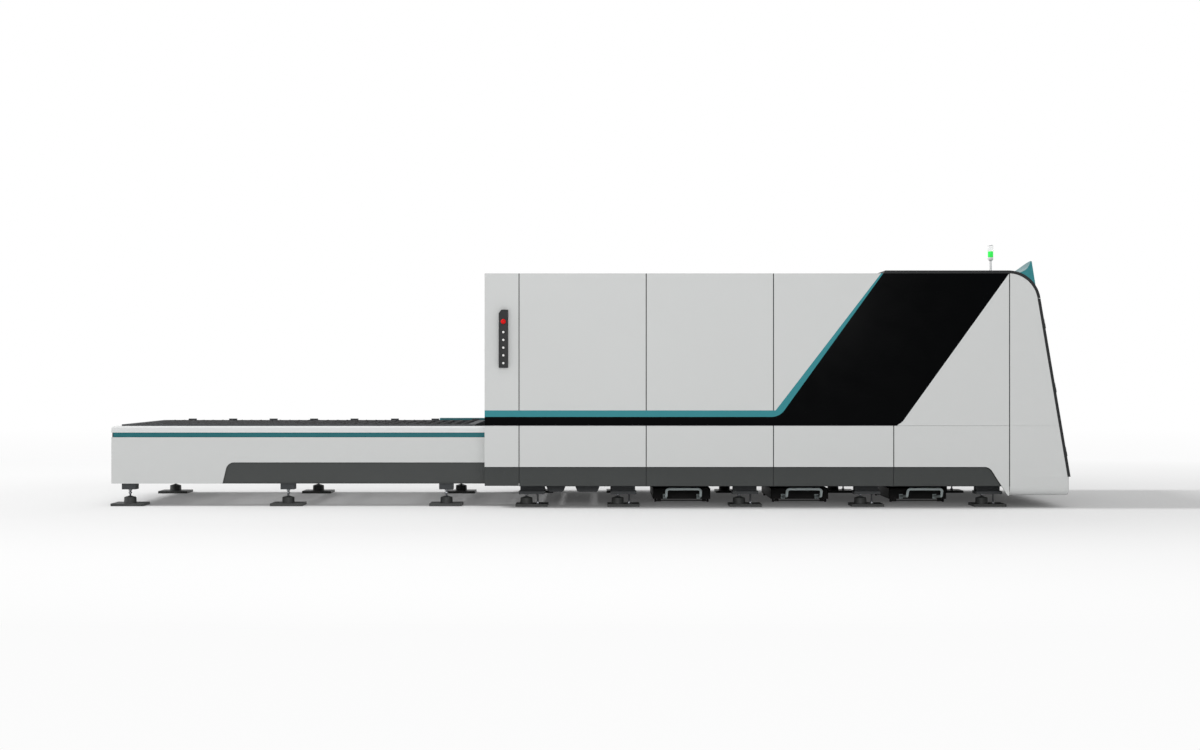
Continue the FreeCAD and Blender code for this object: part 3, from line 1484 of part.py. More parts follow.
def make_front_doors():
    """Two doors with the upper halves of their hinges, each with a bar handle."""
    leaf_z0 = front_foot_z + door_rail + door_gap
    leaf_z1 = front_head_z - door_rail - door_gap * 1.5
    half_length = hinge_length / 2
    leaf = sloped_slab(-door_opening_y + door_gap, -door_gap / 2, leaf_z0, leaf_z1, joint_gap,
                       front_frame_thickness - joint_gap)
    door = [leaf]
    for z in hinge_zs:
        knuckle = along_front(z + joint_gap, z + half_length, -hinge_y, hinge_offset, hinge_radius)
        tab = hinge_tab(-hinge_y, -hinge_y + hinge_tab_reach, z, z + half_length)
        start = V(front_x(z) + hinge_offset, -hinge_y, z)
        end = V(front_x(z + half_length) + hinge_offset, -hinge_y, z + half_length)
        door.append(knuckle.fuse(tab).removeSplitter().cut(bore(start, end, hinge_pin_radius)))
    middle = (front_foot_z + front_head_z) / 2 - handle_below_middle
    half_grip = handle_length / 2
    grip_offset = front_frame_thickness + handle_reach - handle_radius
    grip = along_front(middle - half_grip, middle + half_grip, -handle_from_middle, grip_offset,
                       handle_radius)
    for side in (-1, 1):
        z = middle + side * (half_grip - handle_stem_inset)
        start_x = front_x(z) + front_frame_thickness - handle_stem_radius
        stem = rod_x(start_x, front_x(z) + grip_offset, -handle_from_middle, z, handle_stem_radius,
                     thin_sides)
        door.append(stem.cut(grip).cut(leaf))
    door.append(grip)
    export("near_front_door", door)
    export("far_front_door", [mirrored(piece) for piece in door])


# ---------------------------------------------------------------- fittings
def make_control_box():
    """Control box on the near side with its emergency stop and push buttons."""
    x0 = enclosure_end_x + box_left
    x1 = x0 + box_width
    centre = (x0 + x1) / 2
    back = -enclosure_half_width
    face = back - box_depth
    top = box_bottom + box_height
    body = prism_xz([
        (x0, box_bottom, box_round), (x1, box_bottom, box_round), (x1, top, box_round),
        (x0 + box_chamfer_x, top), (x0, top - box_chamfer_z),
    ], face, back)
    body = body.cut(bore_y(centre, face, face + estop_hole_depth, estop_z, estop_stem_radius + joint_gap))
    bezels = []
    for i in range(button_count):
        z = button_top_z - button_pitch * i
        hole = bore_y(centre, face - bezel_height, face + button_hole_depth, z, button_radius)
        body = body.cut(hole)
        bezels.append(rod_y(centre, face - bezel_height, face, z, bezel_radius).cut(hole))
        button = rod_y(centre, face - button_proud, face + button_depth, z, button_radius)
        export("button_%d" % (i + 1), [button])
    export("control_box", [body] + bezels)
    head_back = face - estop_stroke
    head = rod_y(centre, head_back - estop_height, head_back, estop_z, estop_radius)
    stem = rod_y(centre, head_back, face + estop_stem_depth, estop_z, estop_stem_radius)
    export("emergency_stop", [head.fuse(stem)])


def make_tower_light():
    """Signal light on the roof: foot, pole, base, two lens segments and cap."""
    steps = (
        (lamp_foot_height, lamp_foot_radius), (lamp_pole_height - lamp_foot_height, lamp_pole_radius),
        (lamp_base, lamp_radius), (lamp_segment, lamp_radius), (lamp_segment, lamp_radius),
        (lamp_cap_height, lamp_cap_radius),
    )
    z = roof_top_z + roof_cap_thickness
    pieces = []
    for height, radius in steps:
        pieces.append(rod_z(lamp_x, lamp_y, z, z + height, radius))
        z += height
    export("tower_light", pieces)


os.makedirs("parts", exist_ok=True)
make_feet()
make_bed()
make_gantry_rails()
make_hoppers()
make_pallet_rails()
make_table_frame()
make_table_skin()
make_rail_caps()
make_pallets()
make_exchange_drive()
make_gantry()
make_carriage()
make_head()
for index, cart_x in enumerate(cart_centres):
    make_cart(index + 1, cart_x)
make_enclosure_frame()
make_side_panels()
make_low_panels()
make_end_wall_and_roof()
make_crest()
make_front_cheeks()
make_front_frame()
make_front_doors()
make_control_box()
make_tower_light()
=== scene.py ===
"""Looks of a fiber laser cutting machine: finishes, detailed pieces, floor, lights and camera."""
from __future__ import annotations

import logging
import math
from collections.abc import Mapping, Sequence
from dataclasses import dataclass, field
from enum import Enum
from typing import Any

import bpy
import numpy as np
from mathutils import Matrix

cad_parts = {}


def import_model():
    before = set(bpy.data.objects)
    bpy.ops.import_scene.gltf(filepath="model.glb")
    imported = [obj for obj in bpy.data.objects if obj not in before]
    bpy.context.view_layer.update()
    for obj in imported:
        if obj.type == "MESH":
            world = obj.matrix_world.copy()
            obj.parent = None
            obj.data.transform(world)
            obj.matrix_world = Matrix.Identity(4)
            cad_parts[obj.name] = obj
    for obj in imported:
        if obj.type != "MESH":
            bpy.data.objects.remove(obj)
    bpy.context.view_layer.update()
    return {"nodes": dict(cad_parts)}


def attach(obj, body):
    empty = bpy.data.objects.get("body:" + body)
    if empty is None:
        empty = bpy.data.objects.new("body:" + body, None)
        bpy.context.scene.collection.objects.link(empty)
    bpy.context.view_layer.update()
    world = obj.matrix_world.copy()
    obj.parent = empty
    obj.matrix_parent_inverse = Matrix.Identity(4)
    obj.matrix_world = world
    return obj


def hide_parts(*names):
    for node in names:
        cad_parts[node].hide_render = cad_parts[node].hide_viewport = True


LOG = logging.getLogger("laser_cutting_machine")
MACHINE = "machine"
SIDES = (-1.0, 1.0)
Profile = Sequence[tuple[float, float]]
Socket = bpy.types.NodeSocket
Feeds = Mapping[str | int, Any]

# Lengths in metres that several sub-assemblies share
SKIN_Y = 1.380
ROOF_Z = 2.234
CAP_THICKNESS = 0.028
BEND_CENTRE = (4.01616, 1.952)
BEND_RADIUS = 0.282
FRONT_FOOT_X = 4.581
FRONT_FOOT_Z = 0.297
FRONT_SLANT = 0.1685
FRONT_LEAN = math.atan(FRONT_SLANT)

# Surface texture: reach of the roughness round its middle, depth of the bump and the dust near the floor
ROUGHNESS_REACH = 0.07
BUMP_DEPTH = 0.0006
STREAKS = (0.12, 1.0, 1.0)
EVEN = (1.0, 1.0, 1.0)
SOOT_SHARES = (0.42, 0.33, 0.28)
SOOT_RANGE = (0.52, 0.66)
DUST_COLOUR = (0.36, 0.34, 0.31, 1.0)
DUST_TOP = 0.35
LENS_IOR = 1.06
WHITE_LIGHT = (1.0, 1.0, 1.0, 1.0)
CREASE = math.radians(35.0)
TUBE_SIDES = 18


def front_x(z: np.ndarray | float) -> np.ndarray | float:
    """X of the cheeks' sloped front edge at height z: a straight line leaning back as it rises."""
    return FRONT_FOOT_X + FRONT_SLANT * (FRONT_FOOT_Z - z)


# ---------------------------------------------------------------------------------------- finishes
class Graph:
    """Node tree that is filled by short calls."""

    def __init__(self, holder: bpy.types.Material | bpy.types.World) -> None:
        holder.use_nodes = True
        self.tree = holder.node_tree

    def feed(self, node: bpy.types.Node, feeds: Feeds) -> None:
        """Links the sockets among the feeds to the node's inputs and sets the other values on them."""
        for key, value in feeds.items():
            if isinstance(value, Socket):
                self.tree.links.new(value, node.inputs[key])
            else:
                node.inputs[key].default_value = value

    def add(self, kind: str, feeds: Feeds | None = None, operation: str = "") -> bpy.types.Node:
        """Adds a shader node.

        Args:
            kind: Short name of the node type.
            feeds: Sockets and values for its inputs.
            operation: What a mathematical node does.

        Returns:
            The new node.
        """
        node = self.tree.nodes.new(f"ShaderNode{kind}")
        if operation:
            node.operation = operation
        self.feed(node, feeds or {})
        return node

    def noise(self, place: Socket, scale: float, detail: float) -> Socket:
        """Noise texture on the given coordinates."""
        return self.add("TexNoise", {"Vector": place, "Scale": scale, "Detail": detail}).outputs["Fac"]

    def ranged(self, value: Socket, low: float, high: float, start: float = 0.0, end: float = 1.0) -> Socket:
        """A value carried from the range low to high into the range start to end."""
        feeds = {"Value": value, "From Min": low, "From Max": high, "To Min": start, "To Max": end}
        return self.add("MapRange", feeds).outputs["Result"]

    def mixed(self, share: Socket, low: Socket | Sequence[float], high: Socket | Sequence[float]) -> Socket:
        """Mix of two colours, each of them a socket or fixed."""
        mix = self.add("Mix")
        mix.data_type = "RGBA"
        self.feed(mix, {0: share, 6: low, 7: high})
        return mix.outputs[2]

    def combined(self, operation: str, first: Socket, second: Socket) -> Socket:
        """One number made of two."""
        return self.add("Math", {0: first, 1: second}, operation).outputs["Value"]

    def output(self, kind: str, share: Socket, under: Socket, over: Socket) -> None:
        """Closes the tree with a mix of two shaders."""
        mix = self.add("MixShader", {"Fac": share, 1: under, 2: over})
        self.add(f"Output{kind}", {"Surface": mix.outputs["Shader"]})


class Grain(Enum):
    """Kinds of surface texture, each with its grains per metre and the strength of its bump."""

    POWDER = (420.0, 0.10)
    MILL = (90.0, 0.35)
    DRAWN = (700.0, 0.12)
    ZINC = (160.0, 0.12)
    MOULDED = (500.0, 0.08)
    GLOSS = (6.0, 0.02)
    LENS = (40.0, 0.02)


@dataclass(frozen=True)
class Finish:
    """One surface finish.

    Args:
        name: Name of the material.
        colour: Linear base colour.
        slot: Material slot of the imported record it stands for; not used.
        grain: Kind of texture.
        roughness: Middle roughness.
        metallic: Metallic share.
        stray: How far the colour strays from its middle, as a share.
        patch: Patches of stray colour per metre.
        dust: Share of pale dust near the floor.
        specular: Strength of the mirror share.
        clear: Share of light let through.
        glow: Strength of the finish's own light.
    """

    name: str
    colour: tuple[float, float, float]
    slot: str
    grain: Grain = Grain.POWDER
    roughness: float = 0.45
    metallic: float = 0.0
    stray: float = 0.05
    patch: float = 3.0
    dust: float = 0.0
    specular: float = 0.12
    clear: float = 0.0
    glow: float = 0.0

    def material(self) -> bpy.types.Material:
        """The procedural material, made once."""
        known = bpy.data.materials.get(self.name)
        if known is not None:
            return known
        made = bpy.data.materials.new(self.name)
        made.diffuse_color = self._shade(1.0)
        graph = Graph(made)
        place = graph.add("TexCoord").outputs["Object"]
        stretch = STREAKS if self.grain is Grain.DRAWN else EVEN
        pattern = graph.add("Mapping", {"Vector": place, "Scale": stretch}).outputs["Vector"]
        density, relief = self.grain.value
        fine = graph.noise(pattern, density, 3.0)
        bump = graph.add("Bump", {"Strength": relief, "Distance": BUMP_DEPTH, "Height": fine})
        low, high = max(0.02, self.roughness - ROUGHNESS_REACH), min(1.0, self.roughness + ROUGHNESS_REACH)
        shader = graph.tree.nodes["Principled BSDF"]
        graph.feed(shader, {
            "Base Color": self._tint(graph, place, pattern), "Metallic": self.metallic,
            "Roughness": graph.ranged(fine, 0.0, 1.0, low, high), "Normal": bump.outputs["Normal"],
            "Specular IOR Level": self.specular, "Transmission Weight": self.clear,
            "Emission Color": self._shade(1.0), "Emission Strength": self.glow})
        if self.grain is Grain.LENS:
            shader.inputs["IOR"].default_value = LENS_IOR
        return made

    def _shade(self, *shares: float) -> tuple[float, ...]:
        """The colour made darker or lighter, by one share or by one for each of its parts."""
        parts = zip(self.colour, shares * 3 if len(shares) == 1 else shares)
        return (*(min(1.0, part * share) for part, share in parts), 1.0)

    def _tint(self, graph: Graph, place: Socket, pattern: Socket) -> Socket:
        """Colour that strays in patches, with soot on mill scale and dust that thins out with height."""
        patches = graph.noise(pattern, self.patch, 4.0)
        colour = graph.mixed(patches, self._shade(1.0 - self.stray), self._shade(1.0 + self.stray))
        if self.grain is Grain.MILL:
            spatter = graph.ranged(graph.noise(pattern, self.patch * 9.0, 6.0), *SOOT_RANGE)
            colour = graph.mixed(spatter, colour, self._shade(*SOOT_SHARES))
        if self.dust > 0.0:
            height = graph.add("SeparateXYZ", {"Vector": place}).outputs["Z"]
            fall = graph.ranged(height, 0.0, DUST_TOP, self.dust, 0.0)
            colour = graph.mixed(graph.combined("MULTIPLY", fall, patches), colour, DUST_COLOUR)
        return colour


PANEL = Finish("panel paint", (0.615, 0.625, 0.620), "light_panel", roughness=0.42, stray=0.012, patch=0.8)
# Rail caps: light grey paint, made lighter than the side panels as painted highlight for their lit tops.
RAIL_CAP_PAINTED_HIGHLIGHT = Finish("rail cap paint with painted highlight", (0.70, 0.71, 0.71), "rail_cap", roughness=0.38, stray=0.015, patch=1.2)
TEAL = Finish("teal paint", (0.034, 0.236, 0.268), "enclosure_teal", roughness=0.36, stray=0.04, patch=1.5)
# Table trim: the enclosure's teal made darker, painted shade for the shadow under the rail caps' overhang.
TRIM_IN_PAINTED_SHADE = Finish("table trim teal in painted shade", (0.027, 0.168, 0.190), "enclosure_teal", roughness=0.36, stray=0.04,
              patch=1.5)
CREST = Finish("crest paint", (0.022, 0.205, 0.226), "enclosure_teal", roughness=0.16, stray=0.04, patch=4.0,
               specular=0.5)
SKIRT = Finish("skirt paint", (0.055, 0.059, 0.058), "skirt_grey", roughness=0.5, patch=2.0, dust=0.06)
KICK = Finish("kick panel paint", (0.068, 0.072, 0.071), "skirt_grey", roughness=0.5, patch=2.0, dust=0.06)
BLACK = Finish("black paint", (0.013, 0.013, 0.014), "black_paint", roughness=0.5, stray=0.1, dust=0.10)
# Black strips in the seams and along the skirts' top edge: painted shade for the shadow in these gaps.
SHADE_STRIP = Finish("black painted shade strip", (0.008, 0.008, 0.009), "black_paint", Grain.MOULDED, 0.6, stray=0.1, patch=6.0)
BAND = Finish("black window sheet", (0.0012, 0.0014, 0.0016), "band_black", Grain.GLOSS, 0.16, stray=0.15,
              patch=1.4, specular=0.03)
CAP = Finish("roof cap paint", (0.028, 0.029, 0.030), "cap_grey", roughness=0.48)
BED = Finish("bed paint", (0.055, 0.059, 0.063), "bed_grey", roughness=0.55, stray=0.08, dust=0.10)
SLAT = Finish("cut slat steel", (0.105, 0.107, 0.110), "slat_steel", Grain.MILL, 0.55, 0.75, 0.25, 7.0)
ZINC = Finish("zinc plating", (0.34, 0.35, 0.37), "zinc_steel", Grain.ZINC, 0.36, 0.9, 0.10, 40.0)
GROUND = Finish("ground steel", (0.42, 0.43, 0.44), "zinc_steel", Grain.DRAWN, 0.28, 1.0, 0.06, 12.0)
FOOT = Finish("foot paint", (0.036, 0.039, 0.039), "plate_steel", roughness=0.46, stray=0.12, patch=9.0,
              dust=0.08, specular=0.35)
NYLON = Finish("dark nylon", (0.018, 0.018, 0.019), "wheel_dark", Grain.MOULDED, 0.5, stray=0.08, patch=20.0)
CABINET = Finish("cabinet paint", (0.50, 0.505, 0.50), "cabinet_grey", roughness=0.5, stray=0.02)
HANDLE = Finish("handle paint", (0.68, 0.77, 0.77), "handle_grey", roughness=0.34, stray=0.03, patch=10.0,
                specular=0.4)
PALLET = Finish("pallet paint", (0.068, 0.072, 0.077), "pallet_grey", roughness=0.55, stray=0.12, patch=5.0)
BOX = Finish("control box paint", (0.033, 0.034, 0.035), "box_dark", roughness=0.42, stray=0.04, patch=14.0)
RED = Finish("red knob", (0.62, 0.006, 0.006), "red_plastic", Grain.MOULDED, 0.30, stray=0.03, patch=30.0)
BEZEL = Finish("bezel plastic", (0.012, 0.012, 0.013), "box_dark", Grain.MOULDED, 0.36, stray=0.03,
               patch=30.0)
WHITE = Finish("white button", (0.80, 0.80, 0.79), "button_silver", Grain.MOULDED, 0.28, stray=0.02,
               patch=30.0)
CHROME = Finish("bright chrome", (0.62, 0.63, 0.64), "button_silver", Grain.DRAWN, 0.16, 1.0, 0.03, 20.0)
GREEN_LENS = Finish("green lens", (0.055, 0.88, 0.12), "lamp_plastic", Grain.LENS, 0.22, stray=0.04,
                    patch=30.0, glow=0.30)
CLEAR_LENS = Finish("clear lens", (0.94, 0.95, 0.95), "lamp_plastic", Grain.LENS, 0.12, stray=0.02,
                    patch=30.0, clear=0.88)
LAMP = Finish("lamp base", (0.86, 0.86, 0.86), "lamp_plastic", Grain.MOULDED, 0.4, stray=0.03, patch=30.0)


# ---------------------------------------------------------------------------------------- surfaces
@dataclass
class Skin:
    """A closed surface as arrays.

    Args:
        points: Vertices, one row each.
        quads: Four-cornered faces.
        caps: Faces with any number of corners.
    """

    points: np.ndarray
    quads: np.ndarray
    caps: list[list[int]] = field(default_factory=list)

    def moved(self, x: float, y: float, z: float) -> Skin:
        """The same surface elsewhere."""
        return Skin(self.points + np.array((x, y, z)), self.quads, self.caps)

    def turned_over(self) -> Skin:
        """The same surface with its faces the other way round."""
        return Skin(self.points, self.quads[:, ::-1], [cap[::-1] for cap in self.caps])

    def mirrored(self) -> Skin:
        """The surface on the other side of the centre plane, with its faces turned outwards again."""
        return Skin(self.points * np.array((1.0, -1.0, 1.0)), self.quads, self.caps).turned_over()

    def leaning(self) -> Skin:
        """The surface sheared along the sloped front, X counted from the front's edge."""
        points = self.points.copy()
        points[:, 0] += front_x(points[:, 2])
        return Skin(points, self.quads, self.caps)

    def enclosed(self) -> float:
        """Six times the volume inside the faces, less than nothing where they face inwards."""
        points = self.points - self.points.mean(axis=0)
        a, b, c, d = (points[self.quads[:, i]] for i in range(4))
        volume = np.einsum("ij,ij->", a, np.cross(b, c)) + np.einsum("ij,ij->", a, np.cross(c, d))
        for cap in self.caps:
            ring = points[cap]
            volume += np.cross(ring[1:-1], ring[2:]).sum(axis=0) @ ring[0]
        return volume

    @staticmethod
    def both_sides(near: Sequence[Skin]) -> list[Skin]:
        """Surfaces of the near side followed by their mirror images."""
        return [*near, *(skin.mirrored() for skin in near)]

    @staticmethod
    def joined(skins: Sequence[Skin]) -> Skin:
        """Several surfaces as one, their numbers counted on."""
        starts = np.cumsum([0] + [len(skin.points) for skin in skins[:-1]])
        quads = [skin.quads + start for skin, start in zip(skins, starts)]
        caps = [[int(i + start) for i in cap] for skin, start in zip(skins, starts) for cap in skin.caps]
        return Skin(np.concatenate([skin.points for skin in skins]), np.concatenate(quads), caps)


def spread(*parts: np.ndarray | float) -> np.ndarray:
    """Rows of coordinates from arrays and numbers that are spread over each other."""
    return np.stack(np.broadcast_arrays(*parts), axis=-1)


def lofted(grid: np.ndarray, closed_u: bool = False) -> Skin:
    """Surface through a grid of sections with its faces turned outwards; v runs round a section, u across.

    Args:
        grid: Points of shape (sections, points round a section, 3).
        closed_u: Whether the last section joins the first; otherwise both ends get a flat face.

    Returns:
        The closed surface.
    """
    rows, columns = grid.shape[:2]
    number = np.arange(rows * columns).reshape(rows, columns)
    ahead = np.roll(number, -1, axis=0) if closed_u else number[1:]
    here = number if closed_u else number[:-1]
    quads = spread(here, np.roll(here, -1, axis=1), np.roll(ahead, -1, axis=1), ahead).reshape(-1, 4)
    caps = [] if closed_u else [number[0, ::-1].tolist(), number[-1].tolist()]
    skin = Skin(grid.reshape(-1, 3), quads, caps)
    return skin.turned_over() if skin.enclosed() < 0.0 else skin


def around(along: np.ndarray, radius: np.ndarray, angle: np.ndarray, axis: str) -> np.ndarray:
    """Points at distances along an axis, at radii and angles round it."""
    a, b = radius * np.cos(angle), radius * np.sin(angle)
    return spread(*{"x": (along, a, b), "y": (b, along, a), "z": (a, b, along)}[axis])


def full_turn(sides: int) -> np.ndarray:
    """Angles of points spread evenly round a circle."""
    return 2.0 * np.pi * np.arange(sides) / sides


def sweep(start: float, end: float, count: int) -> np.ndarray:
    """Angles in radians, evenly from one to another that are given in degrees."""
    return np.radians(np.linspace(start, end, count))


def turned(profile: Profile, centre: Sequence[float], axis: str, sides: int, flute: float = 0.0,
           flutes: int = 0) -> Skin:
    """Body of revolution: radius r(u) carried round the axis, r scaled by 1 + flute * cos(flutes * angle).

    Args:
        profile: Pairs (distance along the axis, radius) from one end to the other.
        centre: Point from which the distances are counted.
        axis: "x", "y" or "z".
        sides: Points round the axis.
        flute: Depth of ribs as a share of the radius.
        flutes: Number of ribs.

    Returns:
        The closed body.
    """
    along, radius = np.array(profile).T[:, :, None]
    angle = full_turn(sides)
    wave = 1.0 + flute * np.cos(flutes * angle)
    return lofted(around(along, radius * wave, angle, axis) + np.array(centre))


def ring_turned(profile: Profile, centre: Sequence[float], axis: str, sides: int) -> Skin:
    """Ring: a closed profile (distance along the axis, radius) carried once round the axis."""
    along, radius = np.array(profile).T
    grid = around(along, radius, full_turn(sides)[:, None], axis)
    return lofted(grid + np.array(centre), closed_u=True)


def rounded_block(low: Sequence[float], high: Sequence[float], radius: float, steps: int = 3) -> Skin:
    """Block with rounded edges: p = c + sign(n) * (h - r) + r * n over a grid of unit normals n."""
    low, high = np.array(low, float), np.array(high, float)
    centre, half = (low + high) / 2.0, (high - low) / 2.0
    radius = min(radius, float(half.min()) * 0.999)
    quarter = np.linspace(0.0, np.pi / 2.0, steps + 1)
    turn = np.concatenate([quarter + np.pi / 2.0 * i for i in range(4)])
    rise = np.concatenate([quarter - np.pi / 2.0, quarter])[:, None]
    normal = spread(np.cos(rise) * np.cos(turn), np.cos(rise) * np.sin(turn), np.sin(rise))
    quadrant = np.repeat(np.arange(4), steps + 1)
    sign_x = np.where((quadrant == 0) | (quadrant == 3), 1.0, -1.0)
    sign_y = np.where(quadrant < 2, 1.0, -1.0)
    sign_z = np.repeat((-1.0, 1.0), steps + 1)[:, None]
    return lofted(centre + spread(sign_x, sign_y, sign_z) * (half - radius) + radius * normal)


def drawn_out(profile: np.ndarray, axis: str, start: float, end: float) -> Skin:
    """Closed profile drawn out straight along an axis; its pairs are the other two axes in order."""
    columns = [*profile.T]
    columns.insert("xyz".index(axis), np.array(((start,), (end,))))
    return lofted(spread(*columns))


def arc(centre: Sequence[float], radius: float, start: float, end: float, steps: int) -> np.ndarray:
    """Points on a circle in a plane, from one angle to another, in degrees."""
    angle = sweep(start, end, steps + 1)
    return spread(centre[0] + radius * np.cos(angle), centre[1] + radius * np.sin(angle))


def rounded_path(corners: Sequence[Sequence[float]], bend: float, steps: int = 8) -> np.ndarray:
    """Open path through corners, each replaced by the arc of the bend radius that touches both runs."""
    corners = [np.array(corner, float) for corner in corners]
    path = [corners[0]]
    for before, corner, after in zip(corners, corners[1:], corners[2:]):
        back = (before - corner) / np.linalg.norm(before - corner)
        on = (after - corner) / np.linalg.norm(after - corner)
        half = math.acos(float(np.clip(back @ on, -1.0, 1.0))) / 2.0
        bisector = (back + on) / np.linalg.norm(back + on)
        middle = corner + bisector * (bend / math.sin(half))
        swing = np.linspace(-1.0, 1.0, steps + 1) * (math.pi / 2.0 - half)
        across = (on - back) / np.linalg.norm(on - back)
        path += [middle - bisector * bend * math.cos(t) + across * bend * math.sin(t) for t in swing]
    path.append(corners[-1])
    return np.array(path)


def tube(path: np.ndarray, radius: float, square: Sequence[float]) -> Skin:
    """Round tube: at each point of the path a circle in the plane square to it, turned by a fixed direction.

    Args:
        path: Points along the middle of the tube.
        radius: Outside radius.
        square: A direction that the path never runs along.
    """
    step = np.gradient(path, axis=0)
    tangent = step / np.linalg.norm(step, axis=1, keepdims=True)
    side = np.cross(tangent, np.array(square))
    side /= np.linalg.norm(side, axis=1, keepdims=True)
    up = np.cross(side, tangent)
    angle = full_turn(TUBE_SIDES)[None, :, None]
    circle = np.cos(angle) * side[:, None] + np.sin(angle) * up[:, None]
    return lofted(path[:, None] + radius * circle)


def both_ends(half: Profile, length: float) -> Profile:
    """Profile of a body whose far end mirrors the half given for its near end."""
    return [*half, *((length - along, radius) for along, radius in reversed(half))]


def rounded_rod(length: float, radius: float, edge: float) -> Profile:
    """Profile of a rod from 0 to its length with rounded ends."""
    turn = sweep(0.0, 90.0, 5)
    rim = [(edge - edge * math.cos(t), radius - edge + edge * math.sin(t)) for t in turn]
    return both_ends([(0.0, max(1e-4, radius * 0.02)), *rim], length)


def linked(name: str, data: bpy.types.ID) -> bpy.types.Object:
    """New object with the given data, put into the scene."""
    made = bpy.data.objects.new(name, data)
    bpy.context.scene.collection.objects.link(made)
    return made


class Workshop:
    """Turns surfaces into dressed pieces that ride on the frame."""

    @staticmethod
    def piece(name: str, skins: Sequence[Skin], finish: Finish, body: str,
              replaces: Sequence[str] = ()) -> None:
        """Makes one piece.

        Args:
            name: Name of the piece.
            skins: Its surfaces.
            finish: Its finish.
            body: CAD body it rides on.
            replaces: CAD nodes it stands for.
        """
        whole = Skin.joined(skins)
        mesh = bpy.data.meshes.new(name)
        mesh.from_pydata(whole.points.tolist(), [], whole.quads.tolist() + whole.caps)
        mesh.polygons.foreach_set("use_smooth", np.ones(len(mesh.polygons), dtype=bool))
        mesh.set_sharp_from_angle(angle=CREASE)
        mesh.update()
        mesh.materials.append(finish.material())
        made = linked(name, mesh)
        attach(made, body)
        if replaces:
            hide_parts(*replaces)
        LOG.info("%s: %d faces on %s", name, len(mesh.polygons), body)

    @staticmethod
    def dress(node: bpy.types.Object, finish: Finish) -> None:
        """Gives a carried-over CAD node its finish."""
        node.data.materials.clear()
        node.data.materials.append(finish.material())
        LOG.info("%s: %s", node.name, finish.name)


# ---------------------------------------------------------------------------------------- base and feet
@dataclass
class LevellingFeet:
    """Levelling feet: housing with a cone top, threaded stud and nuts; anchor bolts beside the bed's feet."""

    bed_x: tuple[float, ...] = (-0.529, 0.354, 1.528, 2.702, 3.876)
    bed_y: float = 1.080
    table_x: tuple[float, ...] = (-4.440, -2.9025, -1.365)
    table_y: float = 0.990
    plate_top: float = 0.025
    bed_top: float = 0.118
    table_top: float = 0.157
    offset: float = 0.055
    housing_radius: float = 0.062
    housing_height: float = 0.068
    stud_radius: float = 0.010
    stud_sunk: float = 0.004
    bolt_radius: float = 0.0085
    pitch: float = 0.0035
    root: float = 0.90
    core: float = 0.0005
    long_stud: float = 0.050
    under_nut: tuple[float, float] = (0.015, 0.018)
    middle_nut: tuple[float, float] = (0.016, 0.0175)
    bolt_nut: tuple[float, float] = (0.012, 0.0155)
    washer: tuple[float, float] = (0.003, 0.020)
    hole: float = 0.002

    def build(self) -> None:
        """Makes the housings, studs and bolts of all feet."""
        housings, studs = [], []
        for side in SIDES:
            for x in self.bed_x:
                housings.append(self._housing(x - self.offset, side * self.bed_y))
                studs += self._stud(x - self.offset, side * self.bed_y, self.bed_top)
                studs += self._bolt(x + self.offset, side * self.bed_y)
            for x in self.table_x:
                housings.append(self._housing(x, side * self.table_y))
                studs += self._stud(x, side * self.table_y, self.table_top)
        Workshop.piece("foot_housings", housings, FOOT, MACHINE, ["levelling_feet"])
        Workshop.piece("foot_studs", studs, ZINC, MACHINE)

    def _housing(self, x: float, y: float) -> Skin:
        """Round housing with a foot flange, a steep wall and a very shallow cone top."""
        r, h = self.housing_radius, self.housing_height
        profile = [(0.0, r * 0.2), (0.0, r), (0.006, r), (0.009, r * 0.97), (h * 0.76, r * 0.94),
                   (h * 0.82, r * 0.90), (h * 0.97, r * 0.34), (h, r * 0.28), (h, r * 0.05)]
        return turned(profile, (x, y, self.plate_top), "z", 36)

    def _thread(self, x: float, y: float, z0: float, z1: float, radius: float) -> Skin:
        """Upright screw whose radius falls and rises once a pitch."""
        count = max(1, int((z1 - z0) / self.pitch))
        heights = np.linspace(z0, z1, 2 * count + 1)
        flanks = [(float(z), radius * (self.root if i % 2 else 1.0)) for i, z in enumerate(heights)]
        return turned([(z0, self.core), *flanks, (z1, self.core)], (x, y, 0.0), "z", 16)

    def _stud(self, x: float, y: float, top: float) -> list[Skin]:
        """Threaded stud with a nut under the frame and, on a long stud, one in its middle."""
        foot = self.plate_top + self.housing_height - self.stud_sunk
        under, middle = self.under_nut, self.middle_nut
        parts = [self._thread(x, y, foot, top, self.stud_radius), self._nut(x, y, top - under[0], under)]
        if top - foot > self.long_stud:
            parts.append(self._nut(x, y, (foot + top) / 2.0 - middle[0] / 2.0, middle))
        return parts

    def _nut(self, x: float, y: float, z: float, size: tuple[float, float]) -> Skin:
        """Hexagon nut with chamfered corners, its size given as height and radius."""
        height, radius = size
        half = [(0.0, self.hole), (0.0, radius * 0.92), (height * 0.15, radius)]
        return turned(both_ends(half, height), (x, y, z), "z", 6)

    def _bolt(self, x: float, y: float) -> list[Skin]:
        """Anchor bolt through the floor plate with its washer and nut."""
        z, (height, radius) = self.plate_top, self.washer
        washer = both_ends([(0.0, self.hole), (0.0, radius)], height)
        return [self._thread(x, y, z, self.bed_top, self.bolt_radius), turned(washer, (x, y, z), "z", 24),
                self._nut(x, y, z + height, self.bolt_nut)]


